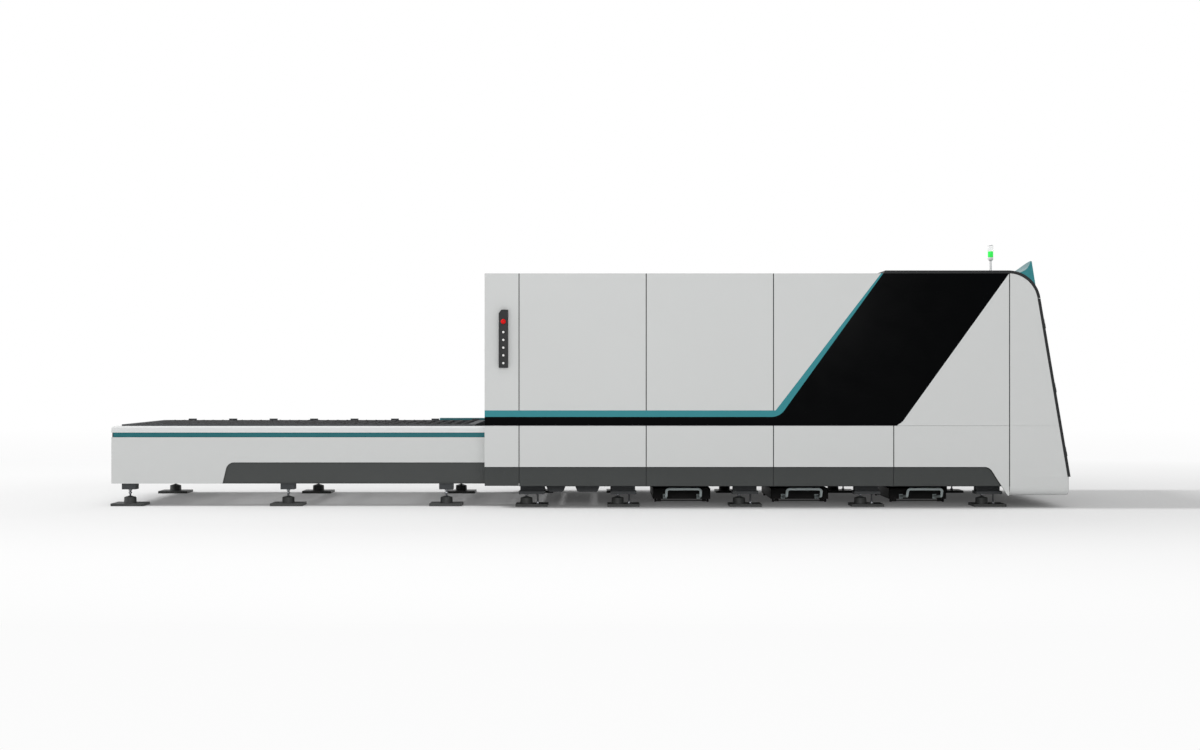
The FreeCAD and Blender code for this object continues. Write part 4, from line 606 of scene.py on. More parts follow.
# ---------------------------------------------------------------------------------------- exchange table
@dataclass
class RailCaps:
    """Rounded sheet covers on the table's long sides and its end."""

    end_x: float = -4.602
    inner_x: float = -0.974
    outer_y: float = 1.084
    inner_y: float = 0.912
    low: float = 0.709
    high: float = 0.769
    round: float = 0.020
    sheet: float = 0.004
    fold: float = 0.004
    end_width: float = 0.050

    def build(self) -> None:
        """Makes both long covers and the end cover."""
        near = drawn_out(self._section(), "x", self.end_x + self.end_width, self.inner_x)
        skins = [near, near.mirrored(), self._end()]
        Workshop.piece("rail_covers", skins, RAIL_CAP_PAINTED_HIGHLIGHT, MACHINE, ["rail_caps"])

    def _section(self) -> np.ndarray:
        """Channel section of a long cover in Y and Z: rounded outer edge, folded inner edge."""
        r, t = self.round, self.sheet
        y0, y1 = -self.outer_y, -self.inner_y
        outer = arc((y0 + r, self.high - r), r, 180.0, 90.0, 8)
        inner = arc((y0 + r, self.high - r), r - t, 90.0, 180.0, 8)
        fold = arc((y1 - self.fold, self.high - self.fold), self.fold, 90.0, 0.0, 3)
        return np.concatenate([[(y0, self.low)], outer, fold, [(y1, self.low), (y1 - t, self.low),
                               (y1 - t, self.high - t)], inner, [(y0 + t, self.low)]])

    def _end(self) -> Skin:
        """End cover: its outer upper edge is a quarter circle, and both sides fall by the same curve."""
        r = self.round
        x0, x1 = self.end_x, self.end_x + self.end_width
        profile = np.concatenate([[(x0, self.low)], arc((x0 + r, self.high - r), r, 180.0, 90.0, 8),
                                  [(x1, self.high), (x1, self.low)]])
        swing = sweep(0.0, 90.0, 9)
        edge = self.outer_y - r + r * np.cos(swing)
        fall = r - r * np.sin(swing)
        y = np.concatenate([-edge, edge[::-1]])[:, None]
        drop = np.concatenate([fall, fall[::-1]])[:, None]
        height = self.high - self.low
        z = self.low + (profile[:, 1] - self.low) * ((height - drop) / height)
        return lofted(spread(profile[:, 0], y, z))


@dataclass
class PalletSlats:
    """Toothed slats of one pallet with the comb strips that hold them."""

    level: str
    shift_x: float = 0.0
    shift_z: float = 0.0
    first_x: float = -4.4005
    pitch: float = 0.102
    count: int = 32
    thickness: float = 0.005
    half_length: float = 0.814
    low: float = 0.710
    high: float = 0.790
    tooth: float = 0.042
    depth: float = 0.016
    shape: Profile = ((0.0, 0.0), (0.06, 0.0), (0.46, 1.0), (0.54, 1.0), (0.94, 0.0))

    def build(self) -> None:
        """Makes all slats of the pallet as one piece."""
        one = self._slat()
        start = self.first_x + self.shift_x
        slats = [one.moved(start + self.pitch * i, 0.0, self.shift_z) for i in range(self.count)]
        body = f"{self.level}_pallet"
        Workshop.piece(f"{self.level}_slats", slats, SLAT, body, [f"{body}_slats"])

    def _slat(self) -> Skin:
        """One slat: its upper edge is a saw line with flattened tips and valleys, its ends are square."""
        teeth = int(round(2.0 * self.half_length / self.tooth))
        step = 2.0 * self.half_length / teeth
        across, rise = np.array(self.shape).T
        y = (np.arange(teeth)[:, None] + across).reshape(-1) * step - self.half_length
        y = np.append(y, self.half_length)
        z = np.append(self.high - self.depth * (1.0 - np.tile(rise, teeth)), self.high - self.depth)
        edges = ((0.0, self.low), (0.0, z), (self.thickness, z), (self.thickness, self.low))
        return lofted(np.stack([spread(x, y, height) for x, height in edges], axis=1))


@dataclass
class PalletWheels:
    """Flanged pallet wheels on their axles."""

    radius: float = 0.045
    width: float = 0.033
    wheel_y: float = 0.915
    axle_radius: float = 0.012
    axle_end_y: float = 0.880
    places: tuple[tuple[str, float, float], ...] = (
        ("upper_rear_wheels", -4.124, 0.640), ("upper_front_wheels", -1.510, 0.640),
        ("lower_rear_wheels", 0.806, 0.390), ("lower_front_wheels", 3.420, 0.390))

    def build(self) -> None:
        """Makes the four wheel pairs."""
        for name, x, z in self.places:
            near = [self._wheel(x, z), self._axle(x, z)]
            Workshop.piece(f"{name}_turned", Skin.both_sides(near), NYLON, name, [name])

    def _wheel(self, x: float, z: float) -> Skin:
        """Wheel with a rounded tread and a dished hub."""
        r, w = self.radius, self.width
        half = [(0.0, 0.004), (0.0, 0.017), (0.004, 0.019), (0.004, r * 0.78), (0.001, r * 0.82),
                (0.001, r - 0.002), (0.003, r)]
        return turned(both_ends(half, w), (x, -self.wheel_y - w, z), "y", 40)

    def _axle(self, x: float, z: float) -> Skin:
        """Axle from the wheel's hub into its bracket."""
        length = self.wheel_y - self.axle_end_y
        return turned(rounded_rod(length, self.axle_radius, 0.001), (x, -self.wheel_y, z), "y", 20)


# ---------------------------------------------------------------------------------------- scrap carts
@dataclass
class ScrapCart:
    """Scrap cart: sheet tub with a hemmed rim, axle ears, a bent tube handle and two wheel pairs."""

    number: int
    centre: float
    half_length: float = 0.286
    half_width: float = 0.560
    low: float = 0.033
    high: float = 0.138
    sheet: float = 0.003
    hem: float = 0.012
    hem_height: float = 0.004
    rim_bevel: float = 0.002
    play: float = 0.0005
    corner: float = 0.014
    handle_radius: float = 0.013
    handle_bend: float = 0.030
    handle_half: float = 0.167
    arm_foot: tuple[float, float] = (-0.560, 0.059)
    knee: tuple[float, float] = (-0.950, 0.085)
    grip: tuple[float, float] = (-1.000, 0.157)
    ear_x: float = 0.245
    ear_length: float = 0.040
    ear_half: float = 0.018
    ear_low: float = 0.006
    ear_edge: float = 0.003
    plate: tuple[float, float, float] = (0.020, 0.004, 0.023)
    plate_edge: float = 0.002
    axle_y: float = 0.500
    wheel_radius: float = 0.015
    wheel_width: float = 0.022
    wheel_x: float = 0.249
    axle: tuple[float, float] = (0.0045, 0.0005)

    def build(self) -> None:
        """Makes the tub, the handle and the wheels."""
        body = f"cart_{self.number}"
        Workshop.piece(f"{body}_tub", [self._wall(), self._floor(), *self._ears()], BLACK, body, [body])
        Workshop.piece(f"{body}_handle", self._handle(), HANDLE, body)
        for end, side in zip(("front", "rear"), SIDES):
            node = f"{body}_{end}_wheels"
            Workshop.piece(f"{node}_turned", self._wheels(side * self.axle_y), NYLON, node, [node])

    def _ring(self, inset: float, z: float) -> np.ndarray:
        """Rounded rectangle at a height, inset from the tub's outside."""
        x, y, r = self.half_length - inset, self.half_width - inset, max(0.002, self.corner - inset)
        centres = ((x - r, y - r), (r - x, y - r), (r - x, r - y), (x - r, r - y))
        arcs = [arc(centre, r, 90.0 * i, 90.0 * i + 90.0, 5) for i, centre in enumerate(centres)]
        outline = np.concatenate(arcs) + np.array((self.centre, 0.0))
        return spread(*outline.T, z)

    def _wall(self) -> Skin:
        """Wall: a thin section with an inward hem at the rim, carried round the outline."""
        low, high, t, bevel = self.low, self.high, self.sheet, self.rim_bevel
        section = ((0.0, low), (0.0, high - bevel), (bevel, high), (self.hem, high),
                   (self.hem, high - self.hem_height), (t, high - self.hem_height), (t, low))
        return lofted(np.stack([self._ring(*spot) for spot in section], axis=1), closed_u=True)

    def _floor(self) -> Skin:
        """Bottom sheet between the walls."""
        heights = (self.low + self.play, self.low + self.sheet)
        return lofted(np.stack([self._ring(self.sheet + self.play, z) for z in heights]))

    def _ears(self) -> list[Skin]:
        """Folded ears that hold the axles."""
        starts = (self.centre - self.ear_x, self.centre + self.ear_x - self.ear_length)
        spots = [(x, side * self.axle_y) for x in starts for side in SIDES]
        return [rounded_block((x, y - self.ear_half, self.ear_low),
                              (x + self.ear_length, y + self.ear_half, self.low), self.ear_edge)
                for x, y in spots]

    def _handle(self) -> list[Skin]:
        """Tube bent four times: out from the tub, up at the knees and across, with a plate at each end."""
        half = self.handle_half
        near = [(self.centre - half, *spot) for spot in (self.arm_foot, self.knee, self.grip)]
        far = [(self.centre + half, *spot) for spot in (self.grip, self.knee, self.arm_foot)]
        rise_y, rise_z = self.grip[0] - self.knee[0], self.grip[1] - self.knee[1]
        skins = [tube(rounded_path(near + far, self.handle_bend), self.handle_radius, (0.0, rise_z, -rise_y))]
        (y, z), (reach, thickness, rise) = self.arm_foot, self.plate
        for x in (self.centre - half, self.centre + half):
            skins.append(rounded_block((x - reach, y - thickness, z - rise), (x + reach, y, z + rise),
                                       self.plate_edge))
        return skins

    def _wheels(self, y: float) -> list[Skin]:
        """Two small wheels with rounded treads on one axle under the tub."""
        r, w = self.wheel_radius, self.wheel_width
        half = [(0.0, 0.001), (0.0, r * 0.36), (0.002, r * 0.42), (0.002, r * 0.70), (0.0, r * 0.78),
                (0.0, r - 0.002), (0.002, r)]
        profile = both_ends(half, w)
        left, right = self.centre - self.wheel_x, self.centre + self.wheel_x
        axle = rounded_rod(right - left, *self.axle)
        return [turned(profile, (left - w, y, r), "x", 32), turned(profile, (right, y, r), "x", 32),
                turned(axle, (left, y, r), "x", 16)]


# ---------------------------------------------------------------------------------------- enclosure
@dataclass
class RoofCap:
    """Dark cover over the roof's front bay, bent down to the sloped front."""

    start_x: float = 2.825
    slant: float = 0.722
    end_z: float = 1.999
    gap: float = 0.0003

    def build(self) -> None:
        """Makes the cover as one bent sheet."""
        outer = arc(BEND_CENTRE, BEND_RADIUS + CAP_THICKNESS, 90.0, math.degrees(FRONT_LEAN), 30)
        inner = arc(BEND_CENTRE, BEND_RADIUS + self.gap, math.degrees(FRONT_LEAN), 90.0, 30)
        top = ROOF_Z + CAP_THICKNESS
        low_x = front_x(self.end_z)
        profile = np.concatenate([
            [(self.start_x, ROOF_Z + self.gap), (self.start_x + self.slant * CAP_THICKNESS, top)], outer,
            [(low_x + CAP_THICKNESS / math.cos(FRONT_LEAN), self.end_z), (low_x + self.gap, self.end_z)],
            inner])
        Workshop.piece("roof_cover", [drawn_out(profile, "y", -SKIN_Y, SKIN_Y)], CAP, MACHINE, ["roof_cap"])


@dataclass
class Crest:
    """Teal crest over the operator end, high at both sides and down to the roof line in the middle."""

    rise: float = 0.090
    dip: float = 0.095
    fall: float = 1.6
    toe_reach: float = 0.101
    hollow: float = 0.016
    tip: float = 0.010
    tip_fall: float = 0.3
    play: float = 0.0006
    least: float = 0.003
    toe_angle: float = 0.367
    foot_angle: float = 0.984
    stations: int = 61
    steps: int = 16

    def build(self) -> None:
        """Makes the crest, whose peak at y stands rise - dip * (1 - (y / half)^2)^fall over the cover."""
        base = BEND_RADIUS + CAP_THICKNESS + self.play
        toe_x, toe_z = self._on_cover(base, self.toe_angle)
        y = np.linspace(-SKIN_Y, SKIN_Y, self.stations)[:, None]
        share = 1.0 - (1.0 - (y / SKIN_Y) ** 2) ** self.fall
        peak_z = ROOF_Z + CAP_THICKNESS + self.rise - self.dip * (1.0 - share)
        along = np.linspace(0.0, 1.0, self.steps + 1)
        sag = self.hollow * np.sin(np.pi * along)
        x = np.tile(toe_x + self.toe_reach * along + sag, (self.stations, 1))
        z = toe_z + (peak_z - toe_z) * along - sag
        x = np.concatenate([x, x[:, -1:] + self.tip], axis=1)
        z = np.concatenate([z, z[:, -1:] - self.tip * self.tip_fall], axis=1)
        reach = np.hypot(x - BEND_CENTRE[0], z - BEND_CENTRE[1])
        need = base + self.least * np.sin(np.pi / 2.0 * np.append(along, 1.0))
        scale = np.maximum(1.0, need / reach)
        x = BEND_CENTRE[0] + (x - BEND_CENTRE[0]) * scale
        z = BEND_CENTRE[1] + (z - BEND_CENTRE[1]) * scale
        foot = self._on_cover(base, np.linspace(self.foot_angle, self.toe_angle, self.steps + 1)[:-1])
        foot_x, foot_z = (np.tile(row, (self.stations, 1)) for row in foot)
        x, z = np.concatenate([x, foot_x], axis=1), np.concatenate([z, foot_z], axis=1)
        Workshop.piece("crest_blade", [lofted(spread(x, y, z))], CREST, MACHINE, ["crest"])

    @staticmethod
    def _on_cover(base: float, angle: np.ndarray | float) -> tuple[np.ndarray, np.ndarray]:
        """X and Z of points on the cover's bend, their angle counted from upright."""
        return BEND_CENTRE[0] + base * np.sin(angle), BEND_CENTRE[1] + base * np.cos(angle)


@dataclass
class FrontCheeks:
    """Cheeks beside the sloped front with a rolled lower edge, and the apron between them."""

    seam_x: float = 4.031
    depth: float = 0.030
    joint_z: float = 0.783
    joint: float = 0.002
    roll: float = 0.085
    bottom: float = 0.118
    toe_x: float = 4.605
    toe_top: float = 0.294
    corner: float = 0.025
    lip: float = 0.040
    sheet: float = 0.003
    play: float = 0.0004
    bevel: float = 0.0015
    run: float = 0.004
    apron_run: float = 0.095
    last_angle: float = 86.5
    least: float = 0.0005
    strip_half: float = 0.012
    strip_sunk: float = 0.003
    strip_short: float = 0.004
    strip_edge: float = 0.001

    def build(self) -> None:
        """Makes both cheeks in two plates with a fine joint, the rolled strips and the apron."""
        near = [self._plate(self.toe_top, self.joint_z - self.joint / 2.0, False),
                self._plate(self.joint_z + self.joint / 2.0, ROOF_Z - self.play, True), self._foot(),
                self._joint_strip()]
        skins = [*Skin.both_sides(near), self._apron()]
        Workshop.piece("cheek_sheets", skins, PANEL, MACHINE, ["front_cheeks"])

    def _edge(self, z: np.ndarray) -> np.ndarray:
        """X of the cheek's front edge: the slope, and above it the roof bend."""
        start = BEND_CENTRE[1] + BEND_RADIUS * math.sin(FRONT_LEAN)
        bend = BEND_CENTRE[0] + np.sqrt(np.maximum(BEND_RADIUS**2 - (z - BEND_CENTRE[1])**2, 0.0))
        return np.where(z > start, bend, front_x(z))

    def _plate(self, z0: float, z1: float, curved: bool) -> Skin:
        """Plate between two heights, from the seam to the front edge, as thick as its folds are deep."""
        if curved:
            swing = sweep(math.degrees(FRONT_LEAN), self.last_angle, 30)
            z = np.concatenate([[z0], BEND_CENTRE[1] + BEND_RADIUS * np.sin(swing), [z1]])
        else:
            z = np.array((z0, z1))
        edge = np.maximum(self._edge(z), self.seam_x + self.least)
        y0, y1, bevel = -SKIN_Y, -SKIN_Y + self.depth, self.bevel
        columns = ((0.0, y1), (0.0, y0 + bevel), (bevel, y0), (-bevel, y0), (0.0, y0 + bevel), (0.0, y1))
        rings = [spread((self.seam_x if i < 3 else edge) + dx, y, z) for i, (dx, y) in enumerate(columns)]
        return lofted(np.stack(rings, axis=1))

    def _joint_strip(self) -> Skin:
        """Backing behind the fine joint."""
        x1, edge = front_x(self.joint_z) - self.strip_short, self.strip_edge
        return rounded_block((self.seam_x, -SKIN_Y + self.strip_sunk, self.joint_z - self.strip_half),
                             (x1, -SKIN_Y + self.depth - edge, self.joint_z + self.strip_half), edge)

    def _foot(self) -> Skin:
        """Lowest part of the cheek: the skin rolls inwards at the bottom and turns round the toe's corner.

        The corner runs over an angle a from the side (0) to the front (90 degrees). With the side's section
        (ys, zs), the toe's section (xt, zt) and the corner's centre (xc, yc), x = xc + (xt - xc) sin a,
        y = yc + (ys - yc) cos a and z = zs cos^2 a + zt sin^2 a.
        """
        side_y, side_z = self._section(-SKIN_Y, self.roll, self.run).T
        toe_x, toe_z = self._section(self.toe_x, self.corner, self.run, -1.0).T
        swing = sweep(0.0, 90.0, 10)[:, None]
        corner_x, turn_y = self.toe_x - self.corner, -SKIN_Y + self.roll
        x = corner_x + (toe_x - corner_x) * np.sin(swing)
        y = turn_y + (side_y - turn_y) * np.cos(swing)
        z = side_z * np.cos(swing) ** 2 + toe_z * np.sin(swing) ** 2
        start = spread(self.seam_x, side_y, side_z)
        return lofted(np.concatenate([start[None], spread(x, y, z)]))

    def _section(self, face: float, roll: float, reach: float, inwards: float = 1.0) -> np.ndarray:
        """Section of the rolled sheet: a lip at the top, the face, the roll and a short run along the bottom.

        Args:
            face: Place of the outer face.
            roll: Radius of the roll.
            reach: Length of the run beyond the roll.
            inwards: 1 where inwards is the rising direction, otherwise -1.
        """
        top, low, t = self.toe_top, self.bottom, self.sheet
        turn = sweep(0.0, 90.0, 12)
        outer, inner = (spread(roll - r * np.cos(turn), low + roll - r * np.sin(turn))
                        for r in (roll, roll - t))
        run = [(roll + reach, low), (roll + reach, low + t)]
        lip = [(t, top - t), (self.lip, top - t), (self.lip, top)]
        section = np.concatenate([[(0.0, top)], outer, run, inner[::-1], lip])
        return spread(face + inwards * section[:, 0], section[:, 1])

    def _apron(self) -> Skin:
        """Apron between the cheeks' corners, with the same section as the toe."""
        half = SKIN_Y - self.roll
        return drawn_out(self._section(self.toe_x, self.corner, self.apron_run, -1.0), "y", -half, half)


@dataclass
class FrontDoors:
    """Front doors with raised borders, tube handles and lift-off hinges."""

    inner_y: float = 1.318
    low: float = 0.371
    high: float = 1.920
    thickness: float = 0.028
    gap: float = 0.0003
    hinge_z: tuple[float, ...] = (0.53486, 1.1465, 1.75814)
    hinge_length: float = 0.090
    hinge_x: float = 0.038
    hinge_radius: float = 0.009
    knuckle_gap: float = 0.0005
    knuckle_edge: float = 0.001
    grip_y: float = 0.070
    grip_z: float = 1.0465
    grip_length: float = 0.340
    grip_x: float = 0.069
    grip_radius: float = 0.0105
    grip_bend: float = 0.022
    grip_sunk: float = 0.002
    collar: tuple[float, float, float] = (0.006, 0.018, 0.002)
    play: float = 0.002
    recess: float = 0.003
    leaf_edge: float = 0.004
    border: float = 0.070
    border_depth: float = 0.0035
    border_edge: float = 0.0016
    flap: float = 0.070
    flap_thickness: float = 0.004
    flap_edge: float = 0.0015

    def build(self) -> None:
        """Makes both doors; the far one is the mirror image."""
        upright = ((self._leaf(), *self._border(), *self._hinges()), self._grip())
        near = [[skin.leaning() for skin in skins] for skins in upright]
        far = [[skin.mirrored() for skin in skins] for skins in near]
        for name, (leaf, grip) in (("near_front_door", near), ("far_front_door", far)):
            Workshop.piece(f"{name}_leaf", leaf, PANEL, name, [name])
            Workshop.piece(f"{name}_grip", grip, GROUND, name)

    def _leaf(self) -> Skin:
        """Leaf with rounded edges."""
        return rounded_block((self.gap, -self.inner_y + self.play, self.low),
                             (self.thickness - self.recess, -self.play, self.high), self.leaf_edge)

    def _border(self) -> list[Skin]:
        """Raised border strips round the leaf's face."""
        x0, x1, w = self.thickness - self.border_depth, self.thickness, self.border
        y0, y1, z0, z1 = -self.inner_y + self.play, -self.play, self.low, self.high
        spans = ((y0, y1, z0, z0 + w), (y0, y1, z1 - w, z1), (y0, y0 + w, z0 + w, z1 - w),
                 (y1 - w, y1, z0 + w, z1 - w))
        return [rounded_block((x0, a, c), (x1, b, d), self.border_edge) for a, b, c, d in spans]

    def _hinges(self) -> list[Skin]:
        """Upper knuckle and flap of each hinge."""
        skins = []
        x, y, t, half = self.thickness, -self.inner_y, self.flap_thickness, self.hinge_length / 2.0
        knuckle = rounded_rod(half - 2.0 * self.knuckle_gap, self.hinge_radius, self.knuckle_edge)
        for z in self.hinge_z:
            skins += [turned(knuckle, (self.hinge_x, y, z + self.knuckle_gap), "z", 20),
                      rounded_block((x, y, z + t), (x + t, y + self.flap, z + half - t), self.flap_edge)]
        return skins

    def _grip(self) -> list[Skin]:
        """Tube handle whose ends bend back to the leaf, with round collars."""
        heights = [self.grip_z + side * self.grip_length / 2.0 for side in SIDES]
        x0, x1, y = self.thickness - self.grip_sunk, self.grip_x, -self.grip_y
        corners = [(x0, y, heights[0]), (x1, y, heights[0]), (x1, y, heights[1]), (x0, y, heights[1])]
        collar, collar_x = rounded_rod(*self.collar), x0 + self.grip_sunk / 2.0
        return [tube(rounded_path(corners, self.grip_bend), self.grip_radius, (0.0, 1.0, 0.0)),
                *(turned(collar, (collar_x, y, z), "x", 24) for z in heights)]


@dataclass
class PanelShadeStrips:
    """Dark strips in the enclosure's upright seams and along the upper edge of the recessed skirts: painted
    shade for the shadow lines in these gaps.
    """

    short_seams: tuple[float, ...] = (-0.643, 0.568, 1.780, 2.925)
    full_seam: float = 4.028
    width: float = 0.0056
    sunk: float = 0.0006
    lip: float = 0.0084
    lip_depth: float = 0.0006
    play: float = 0.0001
    end_gap: float = 0.001
    depth: float = 0.016
    rolled_depth: float = 0.008
    skirt_low: float = 0.209
    skirt_top: float = 0.390
    band_low: float = 0.784
    stripe_top: float = 0.929
    roll: float = 0.085
    roll_top: float = 0.203
    skirt_y: float = 1.366
    skirt_start: float = -0.968
    slant_x: float = 3.838
    slant_foot: float = 3.953
    fillet: float = 0.086
    edge: float = 0.007
    edge_depth: float = 0.0012
    core_round: float = 0.0008
    lip_round: float = 0.0002

    def build(self) -> None:
        """Makes the dark strips of both sides."""
        near = [self._upright(x, self.skirt_top, self.band_low) for x in self.short_seams]
        near += [self._upright(x, self.stripe_top, ROOF_Z) for x in self.short_seams[:3]]
        near += [self._upright(self.full_seam, self.roll_top, ROOF_Z), self._rolled(), self._skirt_edge()]
        # The dark strips are painted shade in the seams and along the skirts' top edge.
        Workshop.piece("panel_shade_strips", Skin.both_sides(near), SHADE_STRIP, MACHINE)

    def _upright(self, x: float, low: float, high: float) -> Skin:
        """Dark strip in an upright seam with a thin lip over the panels' edges: painted shade that makes the
        seam line bolder.
        """
        half, reach, back, face = self.width / 2.0, self.lip / 2.0, -SKIN_Y + self.sunk, -SKIN_Y - self.play
        z0, z1 = low + self.end_gap, high - self.end_gap
        core = rounded_block((x - half, back, z0), (x + half, back + self.depth, z1), self.core_round, 2)
        lip = rounded_block((x - reach, face - self.lip_depth, z0), (x + reach, face, z1), self.lip_round, 1)
        return Skin.joined([core, lip])

    def _rolled(self) -> Skin:
        """Lower end of the front seam's dark strip: it follows the quarter turn of the cheek's rolled edge.
        """
        turn = sweep(180.0, 268.0, 14)
        along = spread(0.0, np.cos(turn), np.sin(turn))
        centre = np.array((self.full_seam, -SKIN_Y + self.roll, self.roll_top))
        across = np.array((self.width / 2.0, 0.0, 0.0))
        outer = centre + along * (self.roll - self.sunk)
        inner = centre + along * (self.roll - self.sunk - self.rolled_depth)
        return lofted(np.stack([outer - across, outer + across, inner + across, inner - across], axis=1))

    def _skirt_edge(self) -> Skin:
        """Flat dark strip along the skirt's edge, painted shadow under the panels: a point of the path and
        the point one width inside it, twice.
        """
        corners = [(self.skirt_start, 0.0, self.skirt_top), (self.slant_x, 0.0, self.skirt_top),
                   (self.slant_foot, 0.0, self.skirt_low)]
        path = rounded_path(corners, self.fillet, 12)
        step = np.gradient(path, axis=0)
        step /= np.linalg.norm(step, axis=1, keepdims=True)
        inside = path + self.edge * spread(step[:, 2], step[:, 1], -step[:, 0])
        out, back = np.array(((0.0, -self.skirt_y - self.edge_depth, 0.0), (0.0, -self.skirt_y, 0.0)))
        return lofted(np.stack([path + out, inside + out, inside + back, path + back], axis=1))


# ---------------------------------------------------------------------------------------- fittings
@dataclass
class ControlPanel:
    """Control box on the near side with its emergency stop and push buttons."""

    left: float = -0.834
    width: float = 0.088
    bottom: float = 1.334
    height: float = 0.553
    face_y: float = -1.425
    estop_z: float = 1.774
    first_button_z: float = 1.673
    pitch: float = 0.0735
    buttons: int = 5
    corner: float = 0.006
    cut: tuple[float, float] = (0.026, 0.032)
    insets: Profile = ((-1.380, 0.0), (-1.422, 0.0), (-1.4241, 0.0009), (-1.425, 0.003))
    bezel: Profile = ((0.0, 0.0112), (0.0, 0.017), (-0.002, 0.017), (-0.0035, 0.0155), (-0.0035, 0.0120))
    cap: Profile = ((0.010, 0.001), (0.010, 0.0107), (-0.0050, 0.0107), (-0.0062, 0.0100), (-0.0068, 0.0080),
                    (-0.0070, 0.0010))
    knob: Profile = ((0.018, 0.001), (0.018, 0.0096), (-0.010, 0.0096), (-0.012, 0.0200), (-0.014, 0.0232),
                     (-0.018, 0.0240), (-0.0215, 0.0231), (-0.0255, 0.0203), (-0.0290, 0.0152),
                     (-0.0312, 0.0088), (-0.0320, 0.0010))

    def build(self) -> None:
        """Makes the box, its bezels, the buttons and the emergency stop."""
        Workshop.piece("control_box_body", [self._box()], BOX, MACHINE, ["control_box"])
        spots = [(self.left + self.width / 2.0, self.face_y, self.first_button_z - self.pitch * i)
                 for i in range(self.buttons)]
        bezels = [ring_turned(self.bezel, spot, "y", 28) for spot in spots]
        Workshop.piece("button_bezels", bezels, BEZEL, MACHINE)
        for i, spot in enumerate(spots, 1):
            name = f"button_{i}"
            Workshop.piece(f"{name}_cap", [turned(self.cap, spot, "y", 28)], WHITE, name, [name])
        knob = turned(self.knob, (*spots[0][:2], self.estop_z), "y", 40)
        Workshop.piece("stop_knob", [knob], RED, "emergency_stop", ["emergency_stop"])

    def _box(self) -> Skin:
        """Box whose far upper corner is cut off; its front face is inset a little, which rounds its edges."""
        x0, x1, z0, z1 = self.left, self.left + self.width, self.bottom, self.bottom + self.height
        r = self.corner
        outline = np.concatenate([
            arc((x0 + r, z0 + r), r, 180.0, 270.0, 4), arc((x1 - r, z0 + r), r, 270.0, 360.0, 4),
            arc((x1 - r, z1 - r), r, 0.0, 90.0, 4), [(x0 + self.cut[0], z1), (x0, z1 - self.cut[1])]])
        middle = np.array(((x0 + x1) / 2.0, (z0 + z1) / 2.0))
        half = np.array(((x1 - x0) / 2.0, (z1 - z0) / 2.0))
        rings = []
        for y, inset in self.insets:
            x, z = (middle + (outline - middle) * (1.0 - inset / half)).T
            rings.append(spread(x, y, z))
        return lofted(np.stack(rings))


@dataclass
class TowerLight:
    """Signal light: foot flange, thin pole, base, ribbed green and clear lenses and a cap."""

    x: float = 3.986
    y: float = -0.700
    z: float = 2.262
    radius: float = 0.026
    pole: float = 0.132
    base: float = 0.034
    segment: float = 0.058
    flange: float = 0.009
    flute: float = 0.018
    flutes: int = 24

    def build(self) -> None:
        """Makes the parts from the roof up."""
        r = self.radius
        foot = ((0.0, 0.002), (0.0, r + self.flange), (0.005, r + self.flange), (0.008, r + 0.004),
                (0.009, 0.013), (self.pole, 0.011), (self.pole, 0.002))
        base = ((0.0, 0.004), (0.0, r * 0.60), (0.010, r * 0.92), (0.014, r), (self.base, r),
                (self.base, 0.004))
        top = ((0.0, 0.004), (0.0, r * 0.98), (0.003, r * 0.96), (0.0085, r * 0.55), (0.010, 0.002))
        base_z = self.z + self.pole
        green_z = base_z + self.base
        clear_z = green_z + self.segment
        stand = [turned(profile, (self.x, self.y, z), "z", sides) for profile, z, sides in (
            (foot, self.z, 28), (base, base_z, 36), (top, clear_z + self.segment, 36))]
        Workshop.piece("tower_light_stand", stand, LAMP, MACHINE, ["tower_light"])
        ribbed = both_ends([(0.0, 0.004), (0.0, r * 0.94), (0.003, r * 0.98)], self.segment)
        for name, finish, z in (("green", GREEN_LENS, green_z), ("clear", CLEAR_LENS, clear_z)):
            lens = turned(ribbed, (self.x, self.y, z), "z", 96, self.flute, self.flutes)
            Workshop.piece(f"tower_light_{name}", [lens], finish, MACHINE)


@dataclass
class CadNodes:
    """Finishes of the nodes that keep their CAD shape."""

    nodes: dict[str, bpy.types.Object]

    def build(self) -> None:
        """Gives every carried-over node its finish."""
        for finish, names in (
            (FOOT, ("floor_plates", "exchange_drive")),
            (BED, ("bed_frame", "pallet_rails", "table_frame", "enclosure_frame", "gantry_beam")),
            (GROUND, ("gantry_rails", "drive_shaft", "idler_sprockets", "gantry_pinions")),
            (BLACK, ("scrap_hoppers",)),
            (PANEL, ("table_panels", "upper_panels", "lower_panels", "end_wall", "roof_panels")),
            (SKIRT, ("skirts",)),
            (KICK, ("kick_panels",)),
            (TEAL, ("teal_stripes",)),
            (TRIM_IN_PAINTED_SHADE, ("table_trim",)),
            (BAND, ("window_bands",)),
            (CAP, ("front_frame",)),
            (CABINET, ("laser_source", "electrical_cabinet", "carriage")),
            (CHROME, ("cutting_head",)),
            (PALLET, ("upper_pallet_frame", "lower_pallet_frame")),
        ):
            for name in names:
                Workshop.dress(self.nodes[name], finish)


